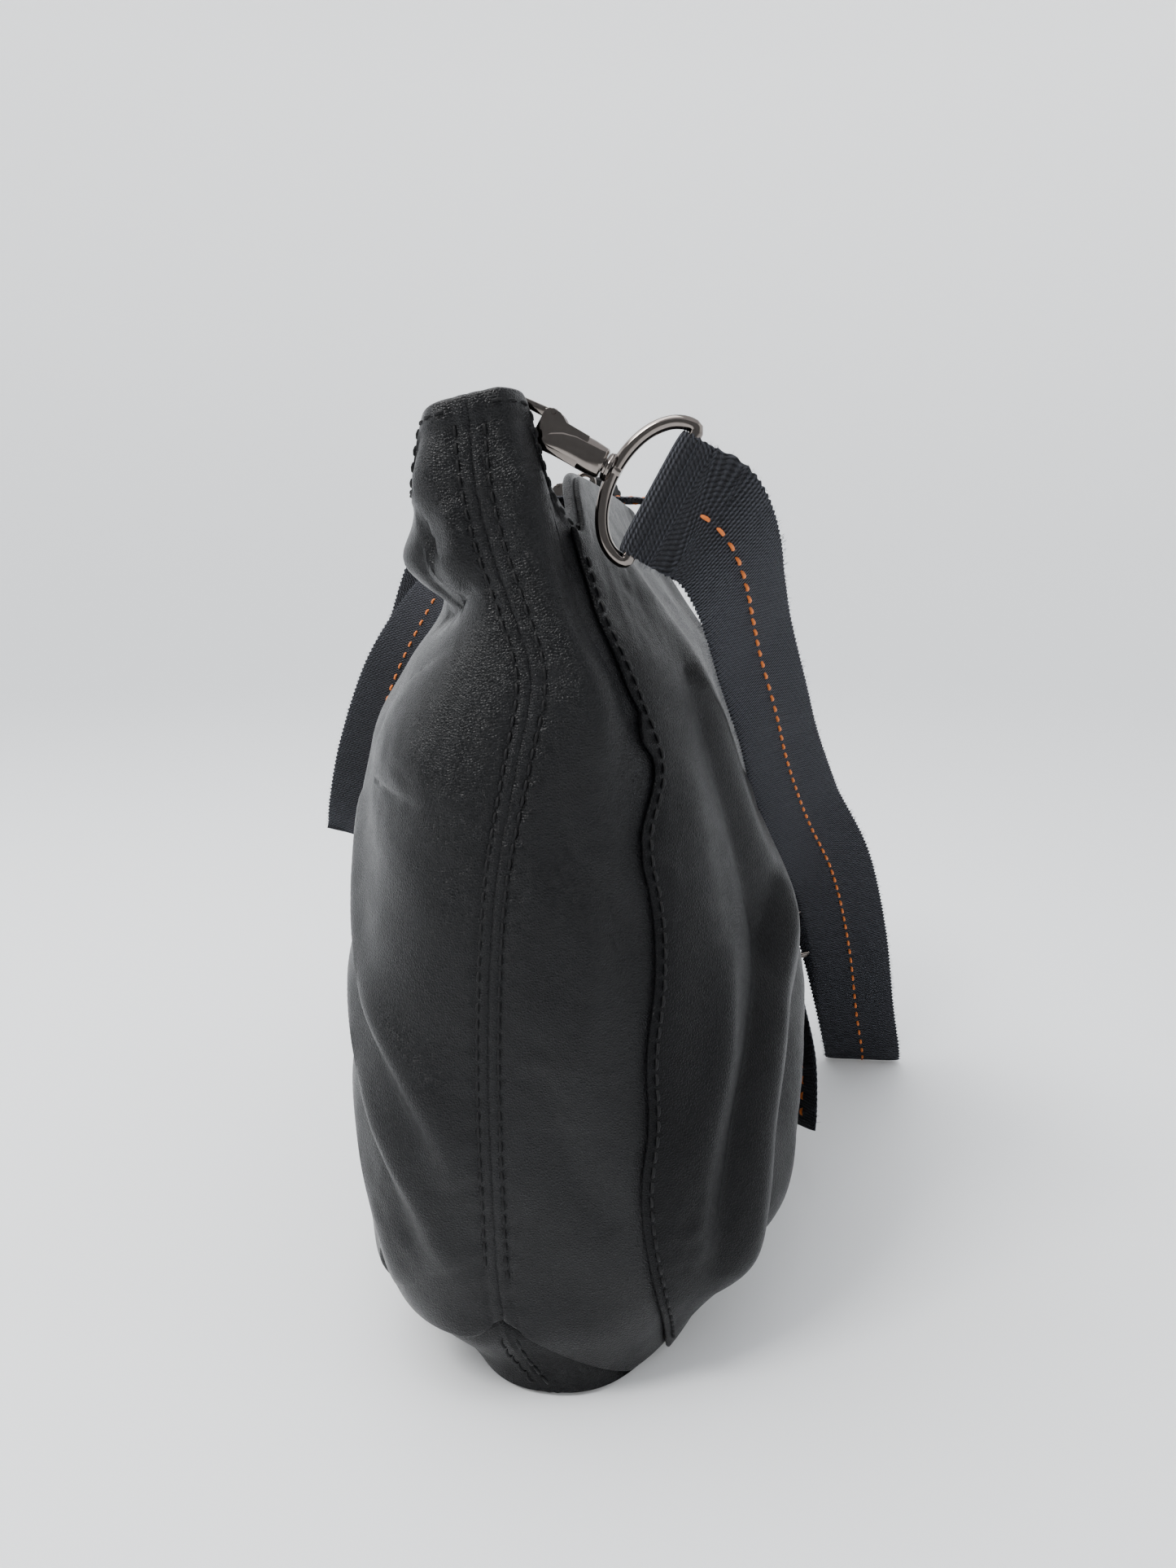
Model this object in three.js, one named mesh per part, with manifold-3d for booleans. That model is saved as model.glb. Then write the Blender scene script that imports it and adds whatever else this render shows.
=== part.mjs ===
// A soft black leather zip-top shoulder bag with a webbing strap on two snap hooks, in millimetres, +Z up.
// The origin is on the floor under the middle of the base; +X runs along the bag to its near end, and
// +Y is the back, where the outer pocket panel is.
import * as THREE from "three";
import { mergeVertices } from "three/addons/utils/BufferGeometryUtils.js";
import Module from "manifold-3d";

const wasm = await Module();
wasm.setup();

// ---- driving dimensions ----
const RIM_HEIGHT = 286;
const PEAK_HEIGHT = 305;
const PEAK_HALF_LENGTH = 155;
const LEATHER = 2.0;
const POCKET_GAP = 0.4;
const POCKET_LEATHER = 1.6;
const GAP = 0.35;
const BASE_THICKNESS = 3.0;
const TONGUE_RISE = 20;
const LINING_INSET = 5.0;
const LINING_THICKNESS = 0.8;
const LINING_FLOOR = 6.4;
const LINING_TOP = 268;

const ZIP_Y = -22;
const ZIP_Z = 271;
const ZIP_HALF_LENGTH = 122;
const TEETH_INNER = 3.0;
const TEETH_WIDTH = 3.0;
const TEETH_HEIGHT = 3.0;
const TEETH_PITCH = 6.0;
const TAPE_OUTER = 16.0;
const TAPE_THICKNESS = 1.0;
const SLIDER_X = -48;
const PULL_AXIS = 4.7;

const WEBBING_WIDTH = 38;
const WEBBING_THICKNESS = 2.0;

const CLIP_X = 139;
const CLIP_Y = -17;
const CLIP_Z = 301;
const CLIP_DROP = THREE.MathUtils.degToRad(28.7);
const RING_WIRE = 3.0;
const RING_HALF_WIDTH = 7.0;
const RING_HEIGHT = 16;
const CLAW_INNER = 4.5;
const CLAW_OUTER = 8.0;
const HOOK_END = 32;
const LOOP_BAR_AT = 51;
const LOOP_DEPTH = 14;
const LOOP_HALF_WIDTH = 21.5;
const LOOP_WIRE = 4.0;
const STRAP_LOOP_END = 75;

// Height, half length, seam line, depth in front of and behind the seam line, and squareness of the
// body's horizontal sections.
const BODY_PROFILE = [
  [0, 162, -2, 50, 50, 2.4],
  [12, 163, -10, 58, 66, 2.5],
  [35, 167, -17, 63, 86, 2.7],
  [75, 170, -19, 64, 92, 2.8],
  [120, 168, -20, 63, 88, 2.8],
  [165, 164, -18, 59, 76, 2.8],
  [200, 160, -12, 56, 60, 2.8],
  [225, 157, -8, 48, 46, 2.9],
  [245, 154, -14, 31, 37, 3.2],
  [262, 153, -20, 32, 32, 3.6],
  [280, 154, -24, 27, 26, 4.2],
  [306, 154, -26, 18, 19, 4.5],
];

// The middle of the strap's width from the near end loop, over the floor behind the bag and across the
// top to the far end loop, with the direction of its width at each point.
const STRAP_ROUTE = [
  [[139, 51.8, 263.3], [0, -0.48, -0.877]],
  [[138.6, 57, 260.2], [0.05, -0.5, -0.86]],
  [[134, 63, 253], [0.2, -0.55, -0.8]],
  [[122, 65, 245], [0.38, -0.55, -0.74]],
  [[106, 63, 238], [0.45, -0.55, -0.7]],
  [[75, 64, 219], [0.5, -0.55, -0.65]],
  [[32, 72, 186], [0.45, -0.62, -0.6]],
  [[-8, 85, 152], [0.4, -0.7, -0.55]],
  [[-40, 97, 122], [0.2, -0.9, -0.3]],
  [[-77, 110, 76], [0.1, -1, -0.1]],
  [[-100, 118, 32], [0.05, -1, 0]],
  [[-111, 123, 8], [0, -1, 0]],
  [[-117.5, 124, 1.3], [0, -1, 0]],
  [[-124, 123, 8], [0, -1, 0]],
  [[-125.5, 114.3, 43.2], [0, -0.961, -0.278]],
  [[-124.5, 106, 72], [0, -0.961, -0.278]],
  [[-123.5, 97.7, 100.8], [0, -0.961, -0.278]],
  [[-121, 83, 141], [0.1, -0.9, -0.3]],
  [[-116, 64, 190], [0.45, -0.75, -0.3]],
  [[-108, 48, 235], [0.85, -0.4, -0.2]],
  [[-102, 28, 272], [1, 0, 0]],
  [[-99, 9, 288.8], [1, 0, 0]],
  [[-98, -4, 290.2], [1, 0, 0]],
  [[-98, -40, 290.2], [1, 0, 0]],
  [[-99, -55, 288.8], [1, 0, 0]],
  [[-102, -77, 272], [0.9, 0.3, -0.2]],
  [[-106, -102, 238], [0.5, 0.75, -0.3]],
  [[-112, -124, 200], [0.15, 0.95, -0.3]],
  [[-119, -140, 158], [0, 0.95, -0.3]],
  [[-124, -148, 126], [0, 0.95, -0.3]],
  [[-130, -151, 113], [0, 0.95, -0.3]],
  [[-135.5, -149, 124], [0, 0.95, -0.3]],
  [[-138.5, -139, 158], [0, 0.953, -0.302]],
  [[-139, -127, 193], [0, 0.953, -0.302]],
  [[-139, -115, 226], [0, 0.953, -0.302]],
  [[-139, -109, 244], [0, 0.85, -0.52]],
  [[-139, -104.5, 255], [0, 0.62, -0.78]],
  [[-139, -100.2, 260.7], [0, 0.48, -0.877]],
  [[-139, -95.6, 263.3], [0, 0.48, -0.877]],
];
const STRAP_STEPS = 96;

// The loose tail of the strap, hanging down the bag's back to just above the floor.
const TAIL_ROUTE = [
  [[-88, 79, 160], [0.75, 0.05, 0.65]],
  [[-66, 75, 140], [0.76, 0, 0.65]],
  [[-43, 73.5, 116], [0.8, 0, 0.6]],
  [[-17, 77, 88], [0.85, 0, 0.5]],
  [[8, 84, 52], [0.9, 0.15, 0.4]],
  [[18, 84, 26], [0.95, 0.15, 0.2]],
];
const TAIL_STEPS = 14;

// ---- materials ----
function finish(color, roughness, metalness = 0) {
  return () => new THREE.MeshStandardMaterial({ color, roughness, metalness });
}
const leather = finish(0x17181a, 0.5);
const glossyLeather = finish(0x121213, 0.35);
const liningCloth = finish(0x1d1d20, 0.85);
const board = finish(0x2a2724, 0.9);
const webbing = finish(0x16181d, 0.95);
const tapeCloth = finish(0x121214, 0.9);
const darkMetal = finish(0x4a4340, 0.18, 1);

const bag = new THREE.Group();

function add(parent, name, geometry, material) {
  const mesh = new THREE.Mesh(geometry, material());
  mesh.name = name;
  parent.add(mesh);
  return mesh;
}

// ---- closed meshes and booleans ----
function signedVolume(geometry) {
  const p = geometry.attributes.position;
  const index = geometry.index;
  const [a, b, c] = [new THREE.Vector3(), new THREE.Vector3(), new THREE.Vector3()];
  let sum = 0;
  for (let i = 0; i < index.count; i += 3) {
    a.fromBufferAttribute(p, index.getX(i));
    b.fromBufferAttribute(p, index.getX(i + 1));
    c.fromBufferAttribute(p, index.getX(i + 2));
    sum += a.dot(b.cross(c));
  }
  return sum / 6;
}

// Merges equal corners and drops the triangles that this leaves without area.
function merged(source) {
  const bare = source.clone();
  bare.deleteAttribute("normal");
  bare.deleteAttribute("uv");
  const geometry = mergeVertices(bare, 1e-4);
  const corners = geometry.index.array;
  const kept = [];
  for (let i = 0; i < corners.length; i += 3) {
    const [a, b, c] = [corners[i], corners[i + 1], corners[i + 2]];
    if (a !== b && b !== c && c !== a) kept.push(a, b, c);
  }
  geometry.setIndex(kept);
  return geometry;
}

function closed(points, faces) {
  const flat = points.flatMap((p) => [p.x, p.y, p.z]);
  const loose = new THREE.BufferGeometry();
  loose.setAttribute("position", new THREE.Float32BufferAttribute(flat, 3));
  loose.setIndex(faces.flat());
  const geometry = merged(loose);
  if (signedVolume(geometry) < 0) geometry.setIndex(Array.from(geometry.index.array).reverse());
  return geometry;
}

function toManifold(source) {
  const geometry = merged(source);
  const vertProperties = new Float32Array(geometry.attributes.position.array);
  const triVerts = new Uint32Array(geometry.index.array);
  return new wasm.Manifold(new wasm.Mesh({ numProp: 3, vertProperties, triVerts }));
}

function toGeometry(solid) {
  const mesh = solid.getMesh();
  const geometry = new THREE.BufferGeometry();
  geometry.setAttribute("position", new THREE.BufferAttribute(new Float32Array(mesh.vertProperties), 3));
  geometry.setIndex(Array.from(mesh.triVerts));
  return geometry;
}

function join(...geometries) {
  return toGeometry(geometries.map(toManifold).reduce((sum, solid) => sum.add(solid)));
}

function cut(geometry, ...tools) {
  return toGeometry(tools.map(toManifold).reduce((sum, solid) => sum.subtract(solid), toManifold(geometry)));
}

function box(low, high) {
  const size = high.map((value, i) => value - low[i]);
  const middle = high.map((value, i) => (value + low[i]) / 2);
  return new THREE.BoxGeometry(...size).translate(...middle);
}

function plate(points, low, high) {
  const shape = new THREE.Shape(points.map(([x, y]) => new THREE.Vector2(x, y)));
  return new THREE.ExtrudeGeometry(shape, { depth: high - low, bevelEnabled: false }).translate(0, 0, low);
}

// A rod along local X from one distance to another.
function rodAlongX(radius, from, to, sides = 20) {
  return new THREE.CylinderGeometry(radius, radius, to - from, sides)
    .rotateZ(Math.PI / 2)
    .translate((from + to) / 2, 0, 0);
}

function rodAlongZ(radius, x, y, halfLength, sides = 16) {
  return new THREE.CylinderGeometry(radius, radius, 2 * halfLength, sides)
    .rotateX(Math.PI / 2)
    .translate(x, y, 0);
}

// A round wire bent along a closed flat outline in the local XY plane.
function wireLoop(outline, radius, sides = 10) {
  const count = outline.length;
  const points = [];
  const faces = [];
  outline.forEach((point, i) => {
    const before = outline[(i + count - 1) % count];
    const after = outline[(i + 1) % count];
    const along = new THREE.Vector3(after.x - before.x, after.y - before.y, 0).normalize();
    const across = new THREE.Vector3(-along.y, along.x, 0);
    for (let k = 0; k < sides; k += 1) {
      const turn = (2 * Math.PI * k) / sides;
      points.push(new THREE.Vector3(point.x, point.y, radius * Math.sin(turn))
        .addScaledVector(across, radius * Math.cos(turn)));
      const next = (i + 1) % count;
      const side = (k + 1) % sides;
      faces.push([i * sides + k, next * sides + k, next * sides + side]);
      faces.push([i * sides + k, next * sides + side, i * sides + side]);
    }
  });
  return closed(points, faces);
}

// ---- the body's outer surface ----
function profileAt(z) {
  const last = BODY_PROFILE.length - 1;
  let i = 0;
  while (i < last - 1 && z > BODY_PROFILE[i + 1][0]) i += 1;
  const span = BODY_PROFILE[i + 1][0] - BODY_PROFILE[i][0];
  const t = (z - BODY_PROFILE[i][0]) / span;
  const slope = (k, column) => {
    const below = BODY_PROFILE[Math.max(k - 1, 0)];
    const above = BODY_PROFILE[Math.min(k + 1, last)];
    return (above[column] - below[column]) / (above[0] - below[0]);
  };
  const [halfLength, seamY, front, back, power] = [1, 2, 3, 4, 5].map((column) => {
    const [a, b] = [BODY_PROFILE[i][column], BODY_PROFILE[i + 1][column]];
    const [p, q] = [slope(i, column) * span, slope(i + 1, column) * span];
    const [t2, t3] = [t * t, t * t * t];
    return (2 * t3 - 3 * t2 + 1) * a + (t3 - 2 * t2 + t) * p + (3 * t2 - 2 * t3) * b + (t3 - t2) * q;
  });
  return { halfLength, seamY, front, back, power };
}

function onSection(profile, angle) {
  const [c, s] = [Math.cos(angle), Math.sin(angle)];
  const depth = s >= 0 ? profile.back : profile.front;
  return new THREE.Vector2(
    profile.halfLength * Math.sign(c) * Math.abs(c) ** (2 / profile.power),
    profile.seamY + depth * Math.sign(s) * Math.abs(s) ** (2 / profile.power),
  );
}

// Angle 0 is the near seam, a quarter turn is the back and half a turn is the far seam.
function skinPoint(angle, z, inset) {
  const profile = profileAt(z);
  const step = 0.01;
  const along = onSection(profile, angle + step).sub(onSection(profile, angle - step)).normalize();
  const point = onSection(profile, angle);
  return new THREE.Vector3(point.x - along.y * inset, point.y + along.x * inset, z);
}

function rimHeight(angle) {
  const x = onSection(profileAt(RIM_HEIGHT), angle).x;
  const reach = Math.abs(x) / PEAK_HALF_LENGTH;
  const peak = 1 / (1 + Math.exp(-(reach - 0.955) / 0.01));
  const underHook = x * Math.sin(angle) > 0;
  const dip = (underHook ? 14 : 5) * Math.exp(-(((reach - 0.86) / 0.07) ** 2));
  return RIM_HEIGHT + (PEAK_HEIGHT - RIM_HEIGHT) * peak - dip * (1 - peak);
}

const COLUMN = THREE.MathUtils.degToRad(9);
const ROWS = 14;
const TONGUE_ANGLE = 3 * COLUMN;

function tongueRise(angle) {
  const toEnd = Math.min(Math.abs(angle), Math.PI - Math.abs(angle));
  if (toEnd >= TONGUE_ANGLE) return 0;
  return TONGUE_RISE * Math.cos((Math.PI / 2) * (toEnd / TONGUE_ANGLE)) ** 2;
}

// The angles from one column to another; an edge that lies on a seam line keeps clear of it.
function columns(first, last) {
  const clear = 0.0012;
  const list = [];
  for (let k = first; k <= last; k += 1) {
    const seam = k % 20 === 0;
    list.push(k * COLUMN + (seam && k === first ? clear : 0) - (seam && k === last ? clear : 0));
  }
  return list;
}

// A closed sheet between two insets of the body's surface. Row 0 is at low(angle), the last at high(angle).
function skin(angles, low, high, rows, outerInset, innerInset) {
  const points = [];
  const faces = [];
  const across = angles.length;
  for (const inset of [outerInset, innerInset]) {
    for (let i = 0; i <= rows; i += 1) {
      for (const angle of angles) {
        const z = low(angle) + ((high(angle) - low(angle)) * i) / rows;
        points.push(skinPoint(angle, z, inset));
      }
    }
  }
  const at = (layer, i, j) => (layer * (rows + 1) + i) * across + j;
  for (let i = 0; i < rows; i += 1) {
    for (let j = 0; j < across - 1; j += 1) {
      faces.push([at(0, i, j), at(0, i, j + 1), at(0, i + 1, j + 1)]);
      faces.push([at(0, i, j), at(0, i + 1, j + 1), at(0, i + 1, j)]);
      faces.push([at(1, i, j), at(1, i + 1, j + 1), at(1, i, j + 1)]);
      faces.push([at(1, i, j), at(1, i + 1, j), at(1, i + 1, j + 1)]);
    }
    for (const [j, flip] of [[0, false], [across - 1, true]]) {
      const quad = [at(0, i, j), at(0, i + 1, j), at(1, i + 1, j), at(1, i, j)];
      if (flip) quad.reverse();
      faces.push([quad[0], quad[1], quad[2]], [quad[0], quad[2], quad[3]]);
    }
  }
  for (let j = 0; j < across - 1; j += 1) {
    for (const [i, flip] of [[0, true], [rows, false]]) {
      const quad = [at(0, i, j), at(0, i, j + 1), at(1, i, j + 1), at(1, i, j)];
      if (flip) quad.reverse();
      faces.push([quad[0], quad[1], quad[2]], [quad[0], quad[2], quad[3]]);
    }
  }
  return closed(points, faces);
}

function sectionOutline(z, inset, count = 40) {
  const outline = [];
  for (let k = 0; k < count; k += 1) {
    const point = skinPoint((2 * Math.PI * k) / count, z, inset);
    outline.push([point.x, point.y]);
  }
  return outline;
}

// ---- leather panels, base and lining ----
function buildBody() {
  const panelLow = (angle) => BASE_THICKNESS + GAP + tongueRise(angle);
  const back = columns(0, 20);
  const front = columns(-20, 0);
  add(bag, "back_panel", skin(back, panelLow, rimHeight, ROWS, 0, LEATHER), leather);
  add(bag, "front_panel", skin(front, panelLow, rimHeight, ROWS, 0, LEATHER), leather);
  const pocketLow = () => BASE_THICKNESS + GAP;
  const pocket = skin(columns(3, 17), pocketLow, rimHeight, ROWS, -POCKET_GAP - POCKET_LEATHER, -POCKET_GAP);
  add(bag, "back_pocket_panel", pocket, glossyLeather);

  const tongueTop = (angle) => BASE_THICKNESS + tongueRise(angle);
  const tongueFoot = () => 0.6;
  const nearTongue = skin(columns(-3, 3), tongueFoot, tongueTop, 4, 0, LEATHER);
  const farTongue = skin(columns(17, 23), tongueFoot, tongueTop, 4, 0, LEATHER);
  const sole = plate(sectionOutline(0, 0), 0, BASE_THICKNESS);
  add(bag, "base_panel", join(sole, nearTongue, farTongue), leather);
  add(bag, "base_board", plate(sectionOutline(0, 7), BASE_THICKNESS + GAP, LINING_FLOOR - GAP), board);

  for (const [name, middle] of [["near_seam_tape", 0], ["far_seam_tape", Math.PI]]) {
    const halfAngle = 0.03;
    const angles = [middle - halfAngle, middle, middle + halfAngle];
    const tape = skin(angles, () => 30, () => 262, ROWS, 3.3, 4.2);
    add(bag, name, tape, tapeCloth);
  }
  add(bag, "lining", buildLining(), liningCloth);
  const slip = skin(columns(7, 13), () => 90, () => 195, 6, LINING_INSET + 2, LINING_INSET + 2.8);
  add(bag, "inner_slip_pocket", slip, liningCloth);
}

// A thin bag with its mouth open: rings up the outside, over the top edge and down the inside.
function buildLining() {
  const across = 40;
  const rings = [];
  const heights = 14;
  const ring = (z, inset) => {
    const list = [];
    for (let k = 0; k < across; k += 1) list.push(skinPoint(k * COLUMN, z, inset));
    return list;
  };
  for (let i = 0; i <= heights; i += 1) {
    rings.push(ring(LINING_FLOOR + ((LINING_TOP - LINING_FLOOR) * i) / heights, LINING_INSET));
  }
  for (let i = heights; i >= 0; i -= 1) {
    const floor = LINING_FLOOR + LINING_THICKNESS;
    rings.push(ring(floor + ((LINING_TOP - floor) * i) / heights, LINING_INSET + LINING_THICKNESS));
  }
  const points = rings.flat();
  const faces = [];
  for (let i = 0; i < rings.length - 1; i += 1) {
    for (let k = 0; k < across; k += 1) {
      const next = (k + 1) % across;
      faces.push([i * across + k, i * across + next, (i + 1) * across + next]);
      faces.push([i * across + k, (i + 1) * across + next, (i + 1) * across + k]);
    }
  }
  const middle = profileAt(LINING_FLOOR).seamY;
  points.push(new THREE.Vector3(0, middle, LINING_FLOOR));
  points.push(new THREE.Vector3(0, middle, LINING_FLOOR + LINING_THICKNESS));
  const inner = (rings.length - 1) * across;
  for (let k = 0; k < across; k += 1) {
    const next = (k + 1) % across;
    faces.push([next, k, points.length - 2]);
    faces.push([inner + k, inner + next, points.length - 1]);
  }
  return closed(points, faces);
}

// ---- zip ----
function buildZip() {
  for (const [side, word] of [[-1, "front"], [1, "back"]]) {
    const y = (from, to) => (side > 0 ? [ZIP_Y + from, ZIP_Y + to] : [ZIP_Y - to, ZIP_Y - from]);
    const [tapeLow, tapeHigh] = y(TEETH_INNER + TEETH_WIDTH + GAP, TAPE_OUTER);
    const tape = box(
      [-ZIP_HALF_LENGTH, tapeLow, ZIP_Z - TAPE_THICKNESS / 2],
      [ZIP_HALF_LENGTH, tapeHigh, ZIP_Z + TAPE_THICKNESS / 2],
    );
    add(bag, `zip_tape_${word}`, tape, tapeCloth);
    add(bag, `zip_teeth_${word}`, buildTeeth(side), darkMetal);
    add(bag, `zip_facing_${word}`, buildFacing(side), leather);
    const [stopLow, stopHigh] = y(TEETH_INNER, TEETH_INNER + TEETH_WIDTH);
    const stopFrom = ZIP_HALF_LENGTH - 6;
    const stop = box([stopFrom, stopLow, ZIP_Z - 2], [ZIP_HALF_LENGTH - 2, stopHigh, ZIP_Z + 2]);
    add(bag, `zip_top_stop_${word}`, stop, darkMetal);
  }
  const reach = TEETH_INNER + TEETH_WIDTH;
  const bottomStop = box(
    [2 - ZIP_HALF_LENGTH, ZIP_Y - reach, ZIP_Z - 2],
    [6 - ZIP_HALF_LENGTH, ZIP_Y + reach, ZIP_Z + 2],
  );
  add(bag, "zip_bottom_stop", bottomStop, darkMetal);
}

// One row of teeth on its cord, standing out towards the other row.
function buildTeeth(side) {
  const end = ZIP_HALF_LENGTH - 7;
  const outer = ZIP_Y + side * (TEETH_INNER + TEETH_WIDTH);
  const root = ZIP_Y + side * (TEETH_INNER + 1.4);
  const tip = ZIP_Y + side * TEETH_INNER;
  const outline = [[-end, outer], [-end, root]];
  for (let x = -end + TEETH_PITCH; x < end - TEETH_PITCH; x += TEETH_PITCH) {
    outline.push([x - 1.5, root], [x - 1.1, tip], [x + 1.1, tip], [x + 1.5, root]);
  }
  outline.push([end, root], [end, outer]);
  return plate(outline, ZIP_Z - TEETH_HEIGHT / 2, ZIP_Z + TEETH_HEIGHT / 2);
}

// The leather strip between the rim and the zip tape.
function buildFacing(side) {
  const edge = ZIP_Y + side * (TAPE_OUTER + GAP);
  const curve = sectionOutline(ZIP_Z, 5.4, 120).filter(([, y]) => side * (y - edge) > 0.2);
  curve.sort((a, b) => a[0] - b[0]);
  const outline = [[curve[0][0], edge], ...curve, [curve.at(-1)[0], edge]];
  return plate(outline, ZIP_Z - 0.7, ZIP_Z + 0.7);
}

function buildSlider() {
  const halfLength = 6.5;
  const halfWidth = 7.4;
  const inside = TEETH_HEIGHT / 2 + GAP;
  const outside = inside + 1.3;
  const plates = [1, -1].map((up) => {
    const z = [up * inside, up * outside].sort((a, b) => a - b);
    return box([-halfLength, -halfWidth, z[0]], [halfLength, halfWidth, z[1]]);
  });
  const wedge = box([-3, -2.4, -outside], [3, 2.4, outside]);
  const lips = [];
  for (const up of [1, -1]) {
    for (const side of [1, -1]) {
      const y = [side * 6.4, side * halfWidth].sort((a, b) => a - b);
      const z = [up * 0.9, up * outside].sort((a, b) => a - b);
      lips.push(box([-halfLength, y[0], z[0]], [halfLength, y[1], z[1]]));
    }
  }
  const posts = [-2.5, 2.5].map((x) => box([x - 0.7, -1.8, outside - 0.2], [x + 0.7, 1.8, 7.4]));
  const bridge = box([-3.2, -1.8, 6.3], [3.2, 1.8, 7.6]);
  const slider = add(bag, "zip_slider", join(...plates, wedge, ...lips, ...posts, bridge), darkMetal);
  slider.position.set(SLIDER_X, ZIP_Y, ZIP_Z);
}

// A flat tab with an eye round the slider's bridge, lying back towards the far end.
function buildPull() {
  const shape = new THREE.Shape();
  shape.moveTo(-0.6, -3.4);
  shape.lineTo(10, -3.8);
  shape.lineTo(24, -4.4);
  shape.absarc(24, 0, 4.4, -Math.PI / 2, Math.PI / 2, false);
  shape.lineTo(10, 3.8);
  shape.lineTo(-0.6, 3.4);
  shape.closePath();
  const eye = new THREE.Path();
  eye.moveTo(0.6, -2.3);
  eye.lineTo(0.6, 2.3);
  eye.lineTo(6.2, 2.3);
  eye.lineTo(6.2, -2.3);
  eye.closePath();
  const slot = new THREE.Path();
  slot.absellipse(17, 0, 5, 1.8, 0, 2 * Math.PI, true);
  shape.holes.push(eye, slot);
  const tab = new THREE.ExtrudeGeometry(shape, { depth: 1.2, bevelEnabled: false, curveSegments: 8 });
  return tab.translate(0, 0, -0.6);
}

// ---- snap hooks, anchor rings and strap loops ----
// Local X runs from the anchor ring's wire out to the strap, local Y is up across it and local Z is
// along the bag.
function buildHook() {
  const claw = new THREE.Shape();
  claw.moveTo(11, -4.6);
  claw.lineTo(9.5, -CLAW_OUTER);
  claw.lineTo(0, -CLAW_OUTER);
  claw.absarc(0, 0, CLAW_OUTER, -Math.PI / 2, Math.PI / 2, true);
  claw.lineTo(1.1, CLAW_OUTER);
  claw.lineTo(1.1, CLAW_INNER);
  claw.lineTo(0, CLAW_INNER);
  claw.absarc(0, 0, CLAW_INNER, Math.PI / 2, -Math.PI / 2, false);
  claw.lineTo(8.4, -CLAW_INNER);
  claw.lineTo(11, -2);
  claw.closePath();
  const clawSolid = new THREE.ExtrudeGeometry(claw, { depth: 5, bevelEnabled: false, curveSegments: 12 })
    .translate(0, 0, -2.5);
  const body = plate(
    [[9.5, -5], [HOOK_END, -5], [HOOK_END, 5], [16, 5], [15.4, 2.4], [9.5, 2.4]],
    -4,
    4,
  );
  const ears = [[-4, -2.5], [2.5, 4]].map(([low, high]) => (
    plate([[9.8, 2], [16.2, 2], [16.2, 5], [14.6, 8], [10.4, 8]], low, high)));
  const bore = rodAlongX(2.4, 24, HOOK_END + 1);
  const pocket = rodAlongX(3.3, 21.6, 26.6);
  const pinHole = rodAlongZ(1.15, 12.4, 6, 6);
  return cut(join(clawSolid, body, ...ears), bore, pocket, pinHole);
}

function buildGate() {
  const lever = plate([[1.5, 4.9], [13.4, 4.9], [14.2, 5.6], [14.2, 7.2], [13.4, 7.7], [1.5, 7.7]], -2.1, 2.1);
  const knob = plate([[5.4, 7.5], [9.2, 7.5], [8.6, 10.2], [6, 10.2]], -1.6, 1.6);
  return cut(join(lever, knob), rodAlongZ(1.15, 12.4, 6, 6));
}

function buildStrapHolder() {
  const outline = [];
  const arcPoints = 22;
  for (let k = 0; k <= arcPoints; k += 1) {
    const turn = (Math.PI * k) / arcPoints;
    outline.push(new THREE.Vector2(
      LOOP_BAR_AT - 1.6 - LOOP_DEPTH * Math.sin(turn),
      LOOP_HALF_WIDTH * Math.cos(turn),
    ));
  }
  outline.push(new THREE.Vector2(LOOP_BAR_AT, -LOOP_HALF_WIDTH + 1.4));
  outline.push(new THREE.Vector2(LOOP_BAR_AT, LOOP_HALF_WIDTH - 1.4));
  const loop = wireLoop(outline, LOOP_WIRE / 2);
  const post = rodAlongX(2.0, 25.4, LOOP_BAR_AT - LOOP_DEPTH - 1.4);
  const head = rodAlongX(2.9, 22.6, 25.8);
  const collar = rodAlongX(4.2, HOOK_END + GAP, HOOK_END + 2.6);
  return join(loop, post, head, collar);
}

// The webbing turned round the holder's bar and sewn back on itself.
function buildStrapLoop() {
  const bar = LOOP_BAR_AT;
  const outer = LOOP_WIRE / 2 + 0.4 + WEBBING_THICKNESS * 0.8;
  const shape = new THREE.Shape();
  shape.moveTo(bar + 10, -WEBBING_THICKNESS);
  shape.lineTo(STRAP_LOOP_END, -WEBBING_THICKNESS);
  shape.lineTo(STRAP_LOOP_END, WEBBING_THICKNESS);
  shape.lineTo(bar + 10, WEBBING_THICKNESS);
  shape.lineTo(bar, outer);
  shape.absarc(bar, 0, outer, Math.PI / 2, (3 * Math.PI) / 2, false);
  const hole = new THREE.Path();
  hole.absarc(bar, 0, LOOP_WIRE / 2 + 0.4, 0, 2 * Math.PI, true);
  shape.holes.push(hole);
  const half = WEBBING_WIDTH / 2 - 0.5;
  const solid = new THREE.ExtrudeGeometry(shape, { depth: 2 * half, bevelEnabled: false, curveSegments: 8 });
  return solid.translate(0, 0, -half).rotateX(Math.PI / 2);
}

// A rounded oblong ring in local XY: local X is up from the tab, local Y is along the bag.
function buildRing() {
  const outline = [];
  const radius = 4;
  const corners = [
    [RING_HEIGHT - radius, RING_HALF_WIDTH - radius, 0],
    [radius, RING_HALF_WIDTH - radius, 1],
    [radius, radius - RING_HALF_WIDTH, 2],
    [RING_HEIGHT - radius, radius - RING_HALF_WIDTH, 3],
  ];
  for (const [x, y, quarter] of corners) {
    for (let k = 0; k <= 4; k += 1) {
      const turn = (Math.PI / 2) * (quarter + k / 4);
      outline.push(new THREE.Vector2(x + radius * Math.cos(turn), y + radius * Math.sin(turn)));
    }
  }
  return wireLoop(outline, RING_WIRE / 2, 8);
}

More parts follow.
